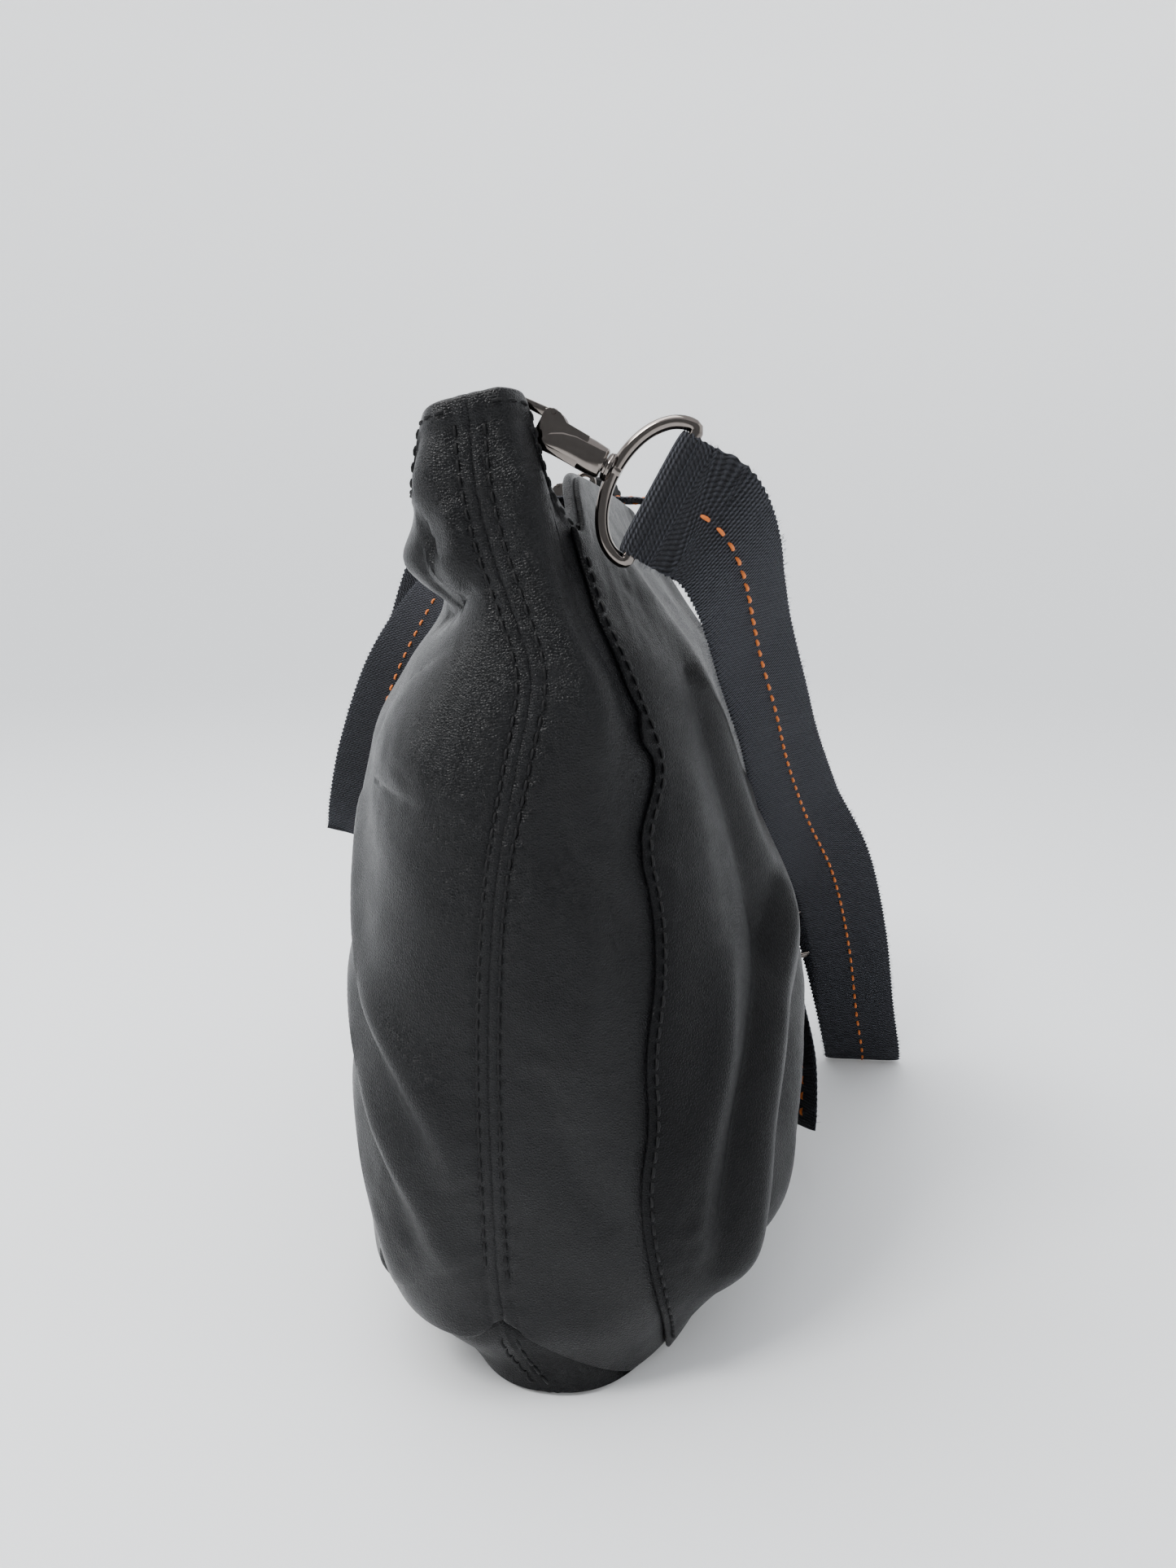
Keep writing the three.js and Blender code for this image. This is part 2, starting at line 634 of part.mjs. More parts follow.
// The leather tab folded over the ring's lower wire, with a foot that reaches the end wall's lining.
function buildTab() {
  const eye = RING_WIRE / 2 + GAP;
  const outer = eye + 1.5;
  const shape = new THREE.Shape();
  shape.absarc(0, 0, outer, 0, Math.PI, false);
  shape.lineTo(-1.6, -7);
  shape.lineTo(-1.6, -30);
  shape.lineTo(1.6, -30);
  shape.lineTo(1.6, -7);
  shape.closePath();
  const hole = new THREE.Path();
  hole.absarc(0, 0, eye, 0, 2 * Math.PI, true);
  shape.holes.push(hole);
  const half = 3;
  const loop = new THREE.ExtrudeGeometry(shape, { depth: 2 * half, bevelEnabled: false, curveSegments: 8 })
    .translate(0, 0, -half);
  const foot = box([-1.6, -30, 0], [1.6, -16, 5.6]);
  return join(loop, foot);
}

function buildEnd(word, turned) {
  const end = new THREE.Group();
  if (turned) {
    end.rotation.z = Math.PI;
    end.position.y = 2 * ZIP_Y;
  }
  bag.add(end);

  const clip = new THREE.Group();
  const out = new THREE.Vector3(0, Math.cos(CLIP_DROP), -Math.sin(CLIP_DROP));
  const along = new THREE.Vector3(1, 0, 0);
  const up = new THREE.Vector3().crossVectors(along, out);
  clip.quaternion.setFromRotationMatrix(new THREE.Matrix4().makeBasis(out, up, along));
  clip.position.set(CLIP_X, CLIP_Y, CLIP_Z);
  end.add(clip);
  add(clip, `${word}_snap_hook`, buildHook(), darkMetal);
  add(clip, `${word}_hook_gate`, buildGate(), darkMetal);
  add(clip, `${word}_gate_pin`, rodAlongZ(0.85, 12.4, 6, 3.9, 12), darkMetal);
  add(clip, `${word}_strap_holder`, buildStrapHolder(), darkMetal);
  add(clip, `${word}_strap_loop`, buildStrapLoop(), webbing);

  const ring = new THREE.Group();
  ring.quaternion.setFromRotationMatrix(new THREE.Matrix4().makeBasis(
    new THREE.Vector3(0, 0, 1),
    new THREE.Vector3(1, 0, 0),
    new THREE.Vector3(0, 1, 0),
  ));
  ring.position.set(CLIP_X, CLIP_Y, CLIP_Z - RING_HEIGHT);
  end.add(ring);
  add(ring, `${word}_anchor_ring`, buildRing(), darkMetal);

  const tab = new THREE.Group();
  tab.quaternion.setFromRotationMatrix(new THREE.Matrix4().makeBasis(
    new THREE.Vector3(0, 1, 0),
    new THREE.Vector3(0, 0, 1),
    new THREE.Vector3(1, 0, 0),
  ));
  tab.position.copy(ring.position);
  end.add(tab);
  add(tab, `${word}_anchor_tab`, buildTab(), leather);
}

// ---- strap ----
// A flat band along a route of points and width directions.
function band(route, steps, width, thickness) {
  const centres = new THREE.CatmullRomCurve3(route.map(([p]) => new THREE.Vector3(...p)), false, "centripetal");
  const points = [];
  const faces = [];
  for (let i = 0; i <= steps; i += 1) {
    const t = i / steps;
    const place = t * (route.length - 1);
    const k = Math.min(Math.floor(place), route.length - 2);
    const centre = centres.getPoint(t);
    const along = centres.getTangent(t);
    const across = new THREE.Vector3(...route[k][1]).lerp(new THREE.Vector3(...route[k + 1][1]), place - k);
    across.addScaledVector(along, -across.dot(along)).normalize();
    const through = new THREE.Vector3().crossVectors(along, across);
    for (const [a, b] of [[-1, -1], [1, -1], [1, 1], [-1, 1]]) {
      points.push(centre.clone()
        .addScaledVector(across, (a * width) / 2)
        .addScaledVector(through, (b * thickness) / 2));
    }
    if (i === steps) break;
    for (let side = 0; side < 4; side += 1) {
      const next = (side + 1) % 4;
      faces.push([i * 4 + side, i * 4 + 4 + side, i * 4 + 4 + next]);
      faces.push([i * 4 + side, i * 4 + 4 + next, i * 4 + next]);
    }
  }
  const end = steps * 4;
  faces.push([0, 1, 2], [0, 2, 3], [end, end + 2, end + 1], [end, end + 3, end + 2]);
  return closed(points, faces);
}

// A tri-glide: two side rails, two end bars over the strap and a middle bar under it.
function buildAdjuster() {
  const halfWidth = WEBBING_WIDTH / 2 + 3.4;
  const rails = [-1, 1].map((side) => {
    const y = [side * (WEBBING_WIDTH / 2 + 0.6), side * halfWidth].sort((a, b) => a - b);
    return box([-13, y[0], -3.9], [13, y[1], 3.9]);
  });
  const endBars = [-11.6, 11.6].map((x) => box([x - 1.4, -halfWidth, 1.5], [x + 1.4, halfWidth, 3.9]));
  const middleBar = box([-1.6, -halfWidth, -3.9], [1.6, halfWidth, -1.5]);
  return join(...rails, ...endBars, middleBar);
}

function buildStrap() {
  add(bag, "strap_webbing", band(STRAP_ROUTE, STRAP_STEPS, WEBBING_WIDTH, WEBBING_THICKNESS), webbing);
  add(bag, "strap_tail", band(TAIL_ROUTE, TAIL_STEPS, WEBBING_WIDTH, WEBBING_THICKNESS), webbing);
  const adjuster = add(bag, "strap_adjuster", buildAdjuster(), darkMetal);
  const at = new THREE.Vector3(-124.5, 106, 72);
  const along = new THREE.Vector3(1, -8.3, 28.8).normalize();
  const across = new THREE.Vector3(0, -0.961, -0.278);
  across.addScaledVector(along, -across.dot(along)).normalize();
  const through = new THREE.Vector3().crossVectors(along, across);
  adjuster.quaternion.setFromRotationMatrix(new THREE.Matrix4().makeBasis(along, across, through));
  adjuster.position.copy(at);
}

buildBody();
buildZip();
buildSlider();
const pull = add(bag, "zip_pull", buildPull(), darkMetal);
pull.rotation.set(0, THREE.MathUtils.degToRad(180 + 18), 0);
pull.position.set(SLIDER_X, ZIP_Y, ZIP_Z + PULL_AXIS);
buildEnd("near", false);
buildEnd("far", true);
buildStrap();

export default bag;
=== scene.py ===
"""A soft black leather zip-top shoulder bag with a webbing strap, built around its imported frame."""

import math

import bpy
import numpy as np
from bpy.props import FloatProperty, FloatVectorProperty, PointerProperty
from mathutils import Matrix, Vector


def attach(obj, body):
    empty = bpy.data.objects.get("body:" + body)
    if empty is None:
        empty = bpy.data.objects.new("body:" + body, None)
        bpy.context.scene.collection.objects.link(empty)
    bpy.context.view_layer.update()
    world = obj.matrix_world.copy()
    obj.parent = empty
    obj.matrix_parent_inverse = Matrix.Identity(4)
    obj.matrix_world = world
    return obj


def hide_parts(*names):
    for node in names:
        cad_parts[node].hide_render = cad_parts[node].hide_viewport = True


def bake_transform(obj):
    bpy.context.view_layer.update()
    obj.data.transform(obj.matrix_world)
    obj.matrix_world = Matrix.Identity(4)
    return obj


bl_info = {
    "name": "Soft Leather Shoulder Bag",
    "version": (1, 0, 0),
    "blender": (4, 5, 0),
    "location": "View3D > Sidebar > Shoulder Bag",
    "description": "Builds a soft zip-top leather bag, its snap hooks, strap and studio",
    "category": "Object",
}

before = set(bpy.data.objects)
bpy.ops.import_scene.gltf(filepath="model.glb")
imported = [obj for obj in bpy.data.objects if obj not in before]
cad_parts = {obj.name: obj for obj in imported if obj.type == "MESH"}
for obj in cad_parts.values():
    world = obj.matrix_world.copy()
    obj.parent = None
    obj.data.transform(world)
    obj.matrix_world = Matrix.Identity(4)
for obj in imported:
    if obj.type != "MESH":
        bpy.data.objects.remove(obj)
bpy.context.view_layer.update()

# Every length in the shaping code is in millimetres, and MM turns it into metres in the mesh.
MM = 0.001

# ---- the bag's outer surface ----
# Height, half length, seam line, depth before and behind the seam line, and squareness of a section.
PROFILE = np.array([
    [0, 162, -2, 50, 50, 2.4],
    [12, 163, -10, 58, 66, 2.5],
    [35, 167, -17, 63, 86, 2.7],
    [75, 170, -19, 64, 92, 2.8],
    [120, 168, -20, 63, 88, 2.8],
    [165, 164, -18, 59, 76, 2.8],
    [200, 160, -12, 56, 60, 2.8],
    [225, 157, -8, 48, 46, 2.9],
    [245, 154, -14, 31, 37, 3.2],
    [262, 153, -20, 32, 32, 3.6],
    [280, 154, -24, 27, 26, 4.2],
    [306, 154, -26, 18, 19, 4.5],
])
RIM_HEIGHT = 286.0
PEAK_RISE = 18.0
PEAK_REACH = 155.0
BASE_TOP = 3.35
ZIP_Y = -22.0
ZIP_Z = 271.0

# The pocket panel's lapped edge: distance from the end seam at each height.
POCKET_EDGE = np.array([
    [0, 47], [34, 47], [54, 45], [74, 44], [93, 48], [113, 47], [142, 51], [160, 48],
    [178, 41], [194, 46], [204, 43], [218, 32], [237, 24], [268, 29], [300, 31],
])

# Folds of the leather at an end: height of the ridge (below zero for a crease), its half width, its
# sharpness and the line it follows as distance from the end seam (front below zero) and height.
FOLDS = [
    (3.4, 9, 1.6, [(-84, 182), (-74, 160), (-62, 138), (-36, 118), (-16, 90), (-12, 74)]),
    (-2.2, 5, 1.4, [(-78, 150), (-56, 124), (-34, 106), (-20, 84)]),
    (3.2, 8, 1.6, [(-86, 134), (-66, 114), (-42, 92), (-24, 66), (-14, 46)]),
    (-2.0, 5, 1.4, [(-84, 116), (-60, 96), (-40, 76), (-26, 52)]),
    (2.6, 9, 1.7, [(-92, 96), (-66, 78), (-44, 52), (-34, 34)]),
    (-3.6, 4.5, 1.3, [(-62, 240), (-40, 243), (-24, 247), (-9, 251)]),
    (-3.6, 7.5, 2.0, [(-26, 264), (-18, 266)]),
    (2.2, 4.5, 1.6, [(-11, 274), (-9, 266), (-13, 257), (-24, 254)]),
    (5.0, 12, 2.0, [(-46, 262), (-38, 258), (-30, 256)]),
    (1.8, 7, 1.8, [(-14, 292), (-20, 282), (-26, 276)]),
    (3.2, 22, 2.0, [(-46, 224), (-40, 208), (-42, 190)]),
    (2.0, 9, 1.8, [(15, 284), (13, 262), (12, 244), (19, 222), (28, 200)]),
    (-1.6, 5, 1.5, [(24, 266), (20, 250), (20, 236), (28, 220), (36, 208)]),
    (1.6, 10, 1.8, [(26, 176), (30, 150), (28, 120), (26, 92)]),
    (-1.2, 6, 1.5, [(12, 196), (20, 176), (34, 160), (42, 140)]),
    (-1.4, 8, 1.6, [(16, 112), (24, 82), (38, 60)]),
    (4.2, 13, 1.7, [(60, 256), (78, 226), (104, 188), (128, 150), (140, 112)]),
    (-3.0, 8, 1.4, [(66, 226), (84, 196), (106, 156), (116, 120)]),
    (4.6, 12, 1.7, [(146, 168), (134, 142), (112, 104), (92, 60), (76, 20)]),
    (-3.2, 7, 1.4, [(126, 150), (102, 112), (80, 72), (68, 36)]),
    (2.8, 10, 1.7, [(84, 140), (76, 108), (66, 76), (62, 44)]),
    (-2.2, 7, 1.4, [(150, 140), (140, 100), (118, 62), (98, 26)]),
    (3.0, 12, 1.8, [(172, 150), (162, 104), (140, 60), (116, 24)]),
    (3.2, 12, 1.7, [(-66, 262), (-92, 226), (-118, 182), (-156, 132)]),
    (-2.4, 8, 1.4, [(-84, 262), (-112, 218), (-140, 170)]),
    (2.6, 12, 1.7, [(-104, 264), (-134, 224), (-176, 186)]),
    (2.8, 11, 1.7, [(-96, 16), (-112, 52), (-122, 96), (-150, 128)]),
    (-2.0, 8, 1.4, [(-118, 16), (-136, 56), (-150, 96)]),
    (2.4, 12, 1.8, [(-152, 14), (-164, 54), (-184, 92)]),
    (2.6, 13, 1.8, [(96, 268), (124, 232), (160, 200)]),
    (-1.8, 9, 1.5, [(118, 262), (150, 222), (178, 196)]),
]
# Broad fullness of the leather: height, place (distance from the seam, height) and its spread each way.
SWELLS = [
    (7.5, -84, 206, 46, 40), (3.0, -58, 26, 22, 16), (4.0, -150, 150, 70, 60),
    (6.5, 96, 34, 46, 26), (4.0, 150, 112, 40, 46), (-1.6, 30, 128, 22, 60),
    (-2.0, -40, 243, 24, 7), (2.2, 20, 24, 24, 12), (2.0, -20, 38, 20, 14),
    (2.6, 17, 288, 8, 18), (3.4, -16, 22, 26, 9), (-3.0, -26, 4, 24, 9),
]
# Patches of fine wrinkles: height, place and spread.
WRINKLES = [
    (0.42, 62, 58, 15, 17), (0.34, 10, 280, 12, 14), (0.5, 48, 250, 18, 16), (0.3, 44, 176, 14, 16),
    (0.26, -26, 200, 22, 26), (0.3, 20, 116, 14, 22), (0.3, -30, 60, 16, 18), (0.35, -40, 252, 14, 8),
]


def section_row(z):
    """Half length, seam line, depths and squareness of the sections at heights z."""
    last = len(PROFILE) - 1
    k = np.clip(np.searchsorted(PROFILE[:, 0], z, side="right") - 1, 0, last - 1)
    before = np.maximum(np.arange(last + 1) - 1, 0)
    after = np.minimum(np.arange(last + 1) + 1, last)
    rise = (PROFILE[after, 0] - PROFILE[before, 0])[:, None]
    slope = (PROFILE[after, 1:] - PROFILE[before, 1:]) / rise
    span = (PROFILE[k + 1, 0] - PROFILE[k, 0])[:, None]
    t = (np.asarray(z)[:, None] - PROFILE[k, 0][:, None]) / span
    low, high = PROFILE[k, 1:], PROFILE[k + 1, 1:]
    return (
        (2 * t**3 - 3 * t**2 + 1) * low
        + (t**3 - 2 * t**2 + t) * slope[k] * span
        + (3 * t**2 - 2 * t**3) * high
        + (t**3 - t**2) * slope[k + 1] * span
    )


def smooth_step(value, low, high):
    """0 below low, 1 above high and an even ease between them."""
    t = np.clip((value - low) / (high - low), 0, 1)
    return t * t * (3 - 2 * t)


# A quarter of each section is kept as points at even distances from the end seam.
TABLE_Z = np.linspace(0, 306, 154)
TABLE_SHARES = np.linspace(0, 1, 441)


def quarter_tables(side):
    """Lengths of the quarter sections, and points at even shares of them."""
    rows = section_row(TABLE_Z)
    t = np.linspace(0, 1, 901)
    eased = np.where(t < 0.5, 2**0.6 * t**1.6, 1 - 2**0.6 * (1 - t) ** 1.6)
    turn = eased * math.pi / 2
    depth = rows[:, 3] if side > 0 else rows[:, 2]
    power = 2 / rows[:, 4][:, None]
    x = rows[:, 0][:, None] * np.clip(np.cos(turn), 0, 1) ** power
    y = rows[:, 1][:, None] + side * depth[:, None] * np.clip(np.sin(turn), 0, 1) ** power
    length = np.hypot(np.diff(x, axis=1), np.diff(y, axis=1)).cumsum(axis=1)
    length = np.concatenate([np.zeros((len(TABLE_Z), 1)), length], axis=1)
    even_x = [np.interp(TABLE_SHARES * a[-1], a, b) for a, b in zip(length, x)]
    even_y = [np.interp(TABLE_SHARES * a[-1], a, b) for a, b in zip(length, y)]
    return length[:, -1], np.array(even_x), np.array(even_y)


QUARTERS = {1: quarter_tables(1), -1: quarter_tables(-1)}


def quarter_length(z, side):
    """Distance along the skin from an end seam to the middle of the bag."""
    return np.interp(z, TABLE_Z, QUARTERS[side][0])


def bilinear(table, z, share):
    """A table read between its rows and columns."""
    row = np.clip(z / TABLE_Z[1], 0, len(TABLE_Z) - 1.0001)
    column = np.clip(share * (len(TABLE_SHARES) - 1), 0, len(TABLE_SHARES) - 1.0001)
    i, j = row.astype(int), column.astype(int)
    a, b = row - i, column - j
    top = table[i, j] * (1 - b) + table[i, j + 1] * b
    bottom = table[i + 1, j] * (1 - b) + table[i + 1, j + 1] * b
    return top * (1 - a) + bottom * a


def from_nearest_seam(s, z):
    """Signed distance from the nearer end seam, and 1 at the near end or -1 at the far end."""
    quarter = np.where(s >= 0, quarter_length(z, 1), quarter_length(z, -1))
    past = np.abs(s) > quarter
    distance = np.where(past, 2 * quarter - np.abs(s), np.abs(s))
    return np.sign(s) * distance, np.where(past, -1.0, 1.0)


def plain_xy(s, z):
    """The loft without its folds, at distance s from the near seam: behind above zero, before below."""
    near, end = from_nearest_seam(s, z)
    x, y = np.zeros(np.shape(s)), np.zeros(np.shape(s))
    for side in (1, -1):
        here = (near >= 0) if side > 0 else (near < 0)
        _, table_x, table_y = QUARTERS[side]
        share = np.abs(near) / quarter_length(z, side)
        x = np.where(here, bilinear(table_x, z, share) * end, x)
        y = np.where(here, bilinear(table_y, z, share), y)
    return x, y


def curve_points(control, per_span=5):
    """A smooth line through control points."""
    p = np.array(control, float)
    padded = np.vstack([2 * p[0] - p[1], p, 2 * p[-1] - p[-2]])
    out = []
    for i in range(len(p) - 1):
        a, b, c, d = padded[i : i + 4]
        for t in np.arange(per_span) / per_span:
            out.append(0.5 * (2 * b + (c - a) * t + (2 * a - 5 * b + 4 * c - d) * t**2
                              + (3 * b - a - 3 * c + d) * t**3))
    out.append(p[-1])
    return np.array(out)


def ridge(s, z, control, width, sharpness):
    """1 on the line and less beside it, fading out at both of its ends."""
    line = curve_points(control)
    step = np.linalg.norm(np.diff(line, axis=0), axis=1)
    total = step.sum()
    nearest = np.full(np.shape(s), 1e9)
    place = np.zeros(np.shape(s))
    walked = 0.0
    for (x0, z0), (x1, z1), length in zip(line[:-1], line[1:], step):
        t = ((s - x0) * (x1 - x0) + (z - z0) * (z1 - z0)) / length**2
        t = np.clip(t, 0, 1)
        away = np.hypot(s - x0 - t * (x1 - x0), z - z0 - t * (z1 - z0))
        closer = away < nearest
        nearest = np.where(closer, away, nearest)
        place = np.where(closer, (walked + t * length) / total, place)
        walked += length
    fade = np.clip(4 * place * (1 - place), 0, 1) ** 0.45
    return np.exp(-((nearest / width) ** sharpness)) * (0.25 + 0.75 * fade)


def ripple(x, y, z, wavelength, seed):
    """Soft uneven swelling from -1 to 1, with bumps about a wavelength apart."""
    draw = np.random.default_rng(seed)
    total = 0
    waves = 9
    for _ in range(waves):
        direction = draw.normal(size=3)
        direction /= np.linalg.norm(direction)
        scale = 2 * math.pi / (wavelength * draw.uniform(0.7, 1.5))
        total = total + np.sin((x * direction[0] + y * direction[1] + z * direction[2]) * scale
                               + draw.uniform(0, 2 * math.pi))
    return total / waves**0.5 / 1.6


def rim_height(s):
    """Height of the panels' top edge, which peaks over both end seams and dips under the hooks."""
    heights = np.full(np.shape(s), float(RIM_HEIGHT))
    x, _ = plain_xy(s, heights)
    near, end = from_nearest_seam(s, heights)
    reach = np.abs(x) / PEAK_REACH
    peak = 1 / (1 + np.exp(-(reach - 0.933) / 0.006))
    under_hook = end * near > 0
    dip = np.where(under_hook, 14, 5) * np.exp(-(((reach - 0.86) / 0.07) ** 2))
    lean = np.clip(0.2 * near, -3.4, 1.8)
    return RIM_HEIGHT + (PEAK_RISE + lean) * peak - dip * (1 - peak)


def base_rise(s, z):
    """How far the base's leather climbs the wall: a tongue under the seam and a pleat at the front corner."""
    near, _ = from_nearest_seam(s, z)
    behind = 27 * np.clip(1 - near / 30, 0, 1) ** 1.15
    shelf = 20 + 7 * np.exp(-((near / 7) ** 2))
    pleat = 22 * np.exp(-(((near + 50) / 9) ** 2))
    fade = smooth_step(near, -74, -54)
    before = shelf * smooth_step(near, -64, -40) + pleat * fade
    rise = np.where(near >= 0, behind, before)
    return np.maximum(rise, 0)


def relief(s, z):
    """How far the leather stands out from the plain loft, in millimetres."""
    near, end = from_nearest_seam(s, z)
    far = end < 0
    lift = np.where(far, 9.0, 0.0)
    strength = np.where(far, 0.85, 1.28)
    total = np.zeros(np.shape(s))
    for height, width, sharpness, control in FOLDS:
        total = total + height * strength * ridge(near, z - lift, control, width, sharpness)
    for height, at, level, spread, tall in SWELLS:
        total = total + height * np.exp(-(((near - at) / spread) ** 2) - ((z - level) / tall) ** 2)
    x, y = plain_xy(s, z)
    away = smooth_step(np.abs(near), 2, 16)
    total = total + away * (0.9 * ripple(x, y, z * 0.6, 58, 3) + 0.45 * ripple(x, y, z * 0.7, 26, 5))
    for height, at, level, spread, tall in WRINKLES:
        patch = np.exp(-(((near - at) / spread) ** 2) - ((z - level) / tall) ** 2)
        total = total + height * patch * ripple(x * 1.2, y * 1.2, z, 7.5, 11)
    floor_hold = smooth_step(z, 0, 14)
    mouth_hold = 1 - 0.75 * smooth_step(z, rim_height(s) - 26, rim_height(s) - 6)
    return total * floor_hold * mouth_hold


def seam_relief(s, z):
    """The pressed-open end seam: two edges rolled into it, and the puckers its stitching draws up."""
    near, _ = from_nearest_seam(s, z)
    gap = np.abs(near)
    groove = -0.35 * np.exp(-((gap / 0.7) ** 1.5))
    band = 0.5 * np.exp(-(((gap - 1.7) / 1.1) ** 2))
    trench = -0.55 * np.exp(-(((gap - seam_row(z)) / 0.9) ** 2))
    beat = np.sin(2 * math.pi * z / 8.4 + 1.3 * np.sin(z / 23) + 0.9 * np.sign(near))
    swing = 0.6 + 0.4 * np.sin(z / 31 + 2 * near / 9)
    pucker = 0.24 * swing * beat * np.exp(-(((gap - 4.4) / 3.4) ** 2))
    return groove + band + trench + pucker


def seam_row(z):
    """Distance of a seam's stitch rows from it: closer together low down."""
    return 3.1 + 1.2 * smooth_step(z, 150, 250)


def skin(s, z, inset=0.0, with_seam=False):
    """Points of the leather's surface at a depth below it."""
    s, z = np.broadcast_arrays(np.asarray(s, float), np.asarray(z, float))
    ahead, behind = plain_xy(s + 0.8, z), plain_xy(s - 0.8, z)
    dx, dy = ahead[0] - behind[0], ahead[1] - behind[1]
    size = np.maximum(np.hypot(dx, dy), 1e-9)
    x, y = plain_xy(s, z)
    out = relief(s, z) - inset
    if with_seam:
        out = out + seam_relief(s, z)
    return np.stack([x + dy / size * out, y - dx / size * out, z], axis=-1)


def skin_with_normals(s, z, inset=0.0, with_seam=False):
    """Surface points with their outward directions."""
    s, z = np.broadcast_arrays(np.asarray(s, float), np.asarray(z, float))
    points = skin(s, z, inset, with_seam)
    along = skin(s + 0.6, z, inset, with_seam) - skin(s - 0.6, z, inset, with_seam)
    up = skin(s, z + 0.6, inset, with_seam) - skin(s, z - 0.6, inset, with_seam)
    return points, unit(np.cross(along, up))


def unit(vectors):
    """Vectors at length 1."""
    return vectors / np.maximum(np.linalg.norm(vectors, axis=-1, keepdims=True), 1e-12)


# ---- meshes ----
def mesh_piece(name, points, faces, finish, body="root", slot="leather", replaces=(), uv=None, sharp=50):
    """A smooth-shaded piece from points in millimetres."""
    mesh = bpy.data.meshes.new(name)
    mesh.from_pydata((np.asarray(points, float) * MM).tolist(), [], [list(map(int, f)) for f in faces])
    mesh.polygons.foreach_set("use_smooth", [True] * len(mesh.polygons))
    if uv is not None:
        corner = np.zeros(len(mesh.loops), int)
        mesh.loops.foreach_get("vertex_index", corner)
        mesh.uv_layers.new(name="UVMap").data.foreach_set("uv", np.asarray(uv, np.float32)[corner].ravel())
    mesh.set_sharp_from_angle(angle=math.radians(sharp))
    mesh.update()
    piece = bpy.data.objects.new(name, mesh)
    bpy.context.scene.collection.objects.link(piece)
    mesh.materials.append(material(finish))
    if body is not None:
        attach(piece, body)
    if replaces:
        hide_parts(*replaces)
    return piece


def grid_quads(rows, columns, wrap=False):
    """Corner numbers of the quads of a grid of points."""
    i, j = np.meshgrid(np.arange(rows - 1), np.arange(columns if wrap else columns - 1), indexing="ij")
    i, j = i.ravel(), j.ravel()
    k = (j + 1) % columns
    return np.stack([i * columns + j, i * columns + k, (i + 1) * columns + k, (i + 1) * columns + j], axis=1)


def thick_sheet(middle, half):
    """A closed sheet about a grid of middle points: half is 0 along the edges, which rounds them."""
    rows, columns, _ = middle.shape
    out = unit(np.cross(np.gradient(middle, axis=1), np.gradient(middle, axis=0)))
    front = middle + out * half[..., None]
    back = middle - out * half[..., None]
    number = np.arange(rows * columns).reshape(rows, columns)
    inner = number.copy()
    inner[1:-1, 1:-1] = rows * columns + np.arange((rows - 2) * (columns - 2)).reshape(rows - 2, columns - 2)
    quads = grid_quads(rows, columns)
    points = np.concatenate([front.reshape(-1, 3), back[1:-1, 1:-1].reshape(-1, 3)])
    return points, np.concatenate([quads, inner.ravel()[quads][:, ::-1]])


def edge_round(distance, radius):
    """Share of the full thickness at a distance from a sheet's rounded edge."""
    return np.sqrt(np.clip(1 - (1 - np.clip(distance / radius, 0, 1)) ** 2, 0, 1))


EDGE_STEPS = np.array([0, 0.03, 0.12, 0.3, 0.6, 1.0])


def spread(length, fine, coarse, detail, radius):
    """Distances across a sheet: tight at its edges, fine for a detail length inside them, then coarse."""
    start = np.concatenate([EDGE_STEPS * radius, np.arange(radius + fine, detail, fine)])
    middle_count = max(int((length - 2 * detail) / coarse), 2)
    middle = np.linspace(detail, length - detail, middle_count + 1)
    return np.concatenate([start, middle, length - start[::-1]])


def wall_panel(first, last, low, high, radius, inset, fine, coarse, detail, rows_step, with_seam, hem,
               side_round):
    """Middle points and half thickness of a leather panel between two distances from the near seam.

    first and last give its side edges at a height, and low and high its foot and top. radius is half its
    thickness, hem what its top edge adds to that, and side_round the rounding of its side edges.
    """
    nominal = 150.0
    length = float(last(nominal) - first(nominal))
    offsets = spread(length, fine, coarse, detail, radius)
    share = offsets / length
    rise = spread(285.0, rows_step, rows_step, 20, radius) / 285.0
    z = np.tile((15 + rise * 270)[:, None], (1, len(share)))
    for _ in range(3):
        start, end = first(z), last(z)
        near_part, far_part = offsets[None, :], (length - offsets)[None, :]
        in_middle = (offsets > detail) & (offsets < length - detail)
        middle = detail + (offsets - detail)[None, :] / (length - 2 * detail) * (end - start - 2 * detail)
        s = np.where(offsets[None, :] <= detail, start + near_part, end - far_part)
        s = np.where(in_middle[None, :], start + middle, s)
        bottom, top = low(s, z), high(s)
        z = bottom + (top - bottom) * rise[:, None]
    half = radius * np.ones_like(z)
    if hem:
        half = half + hem * smooth_step(z, top - 7.4, top - 6.2)
    side = side_round * np.ones_like(z)
    grow = np.minimum(edge_round((s - start) * np.ones_like(z), side), edge_round(end - s, side))
    half = half * np.minimum(grow, np.minimum(edge_round(z - bottom, half), edge_round(top - z, half)))
    return skin(s, z, inset, with_seam), half


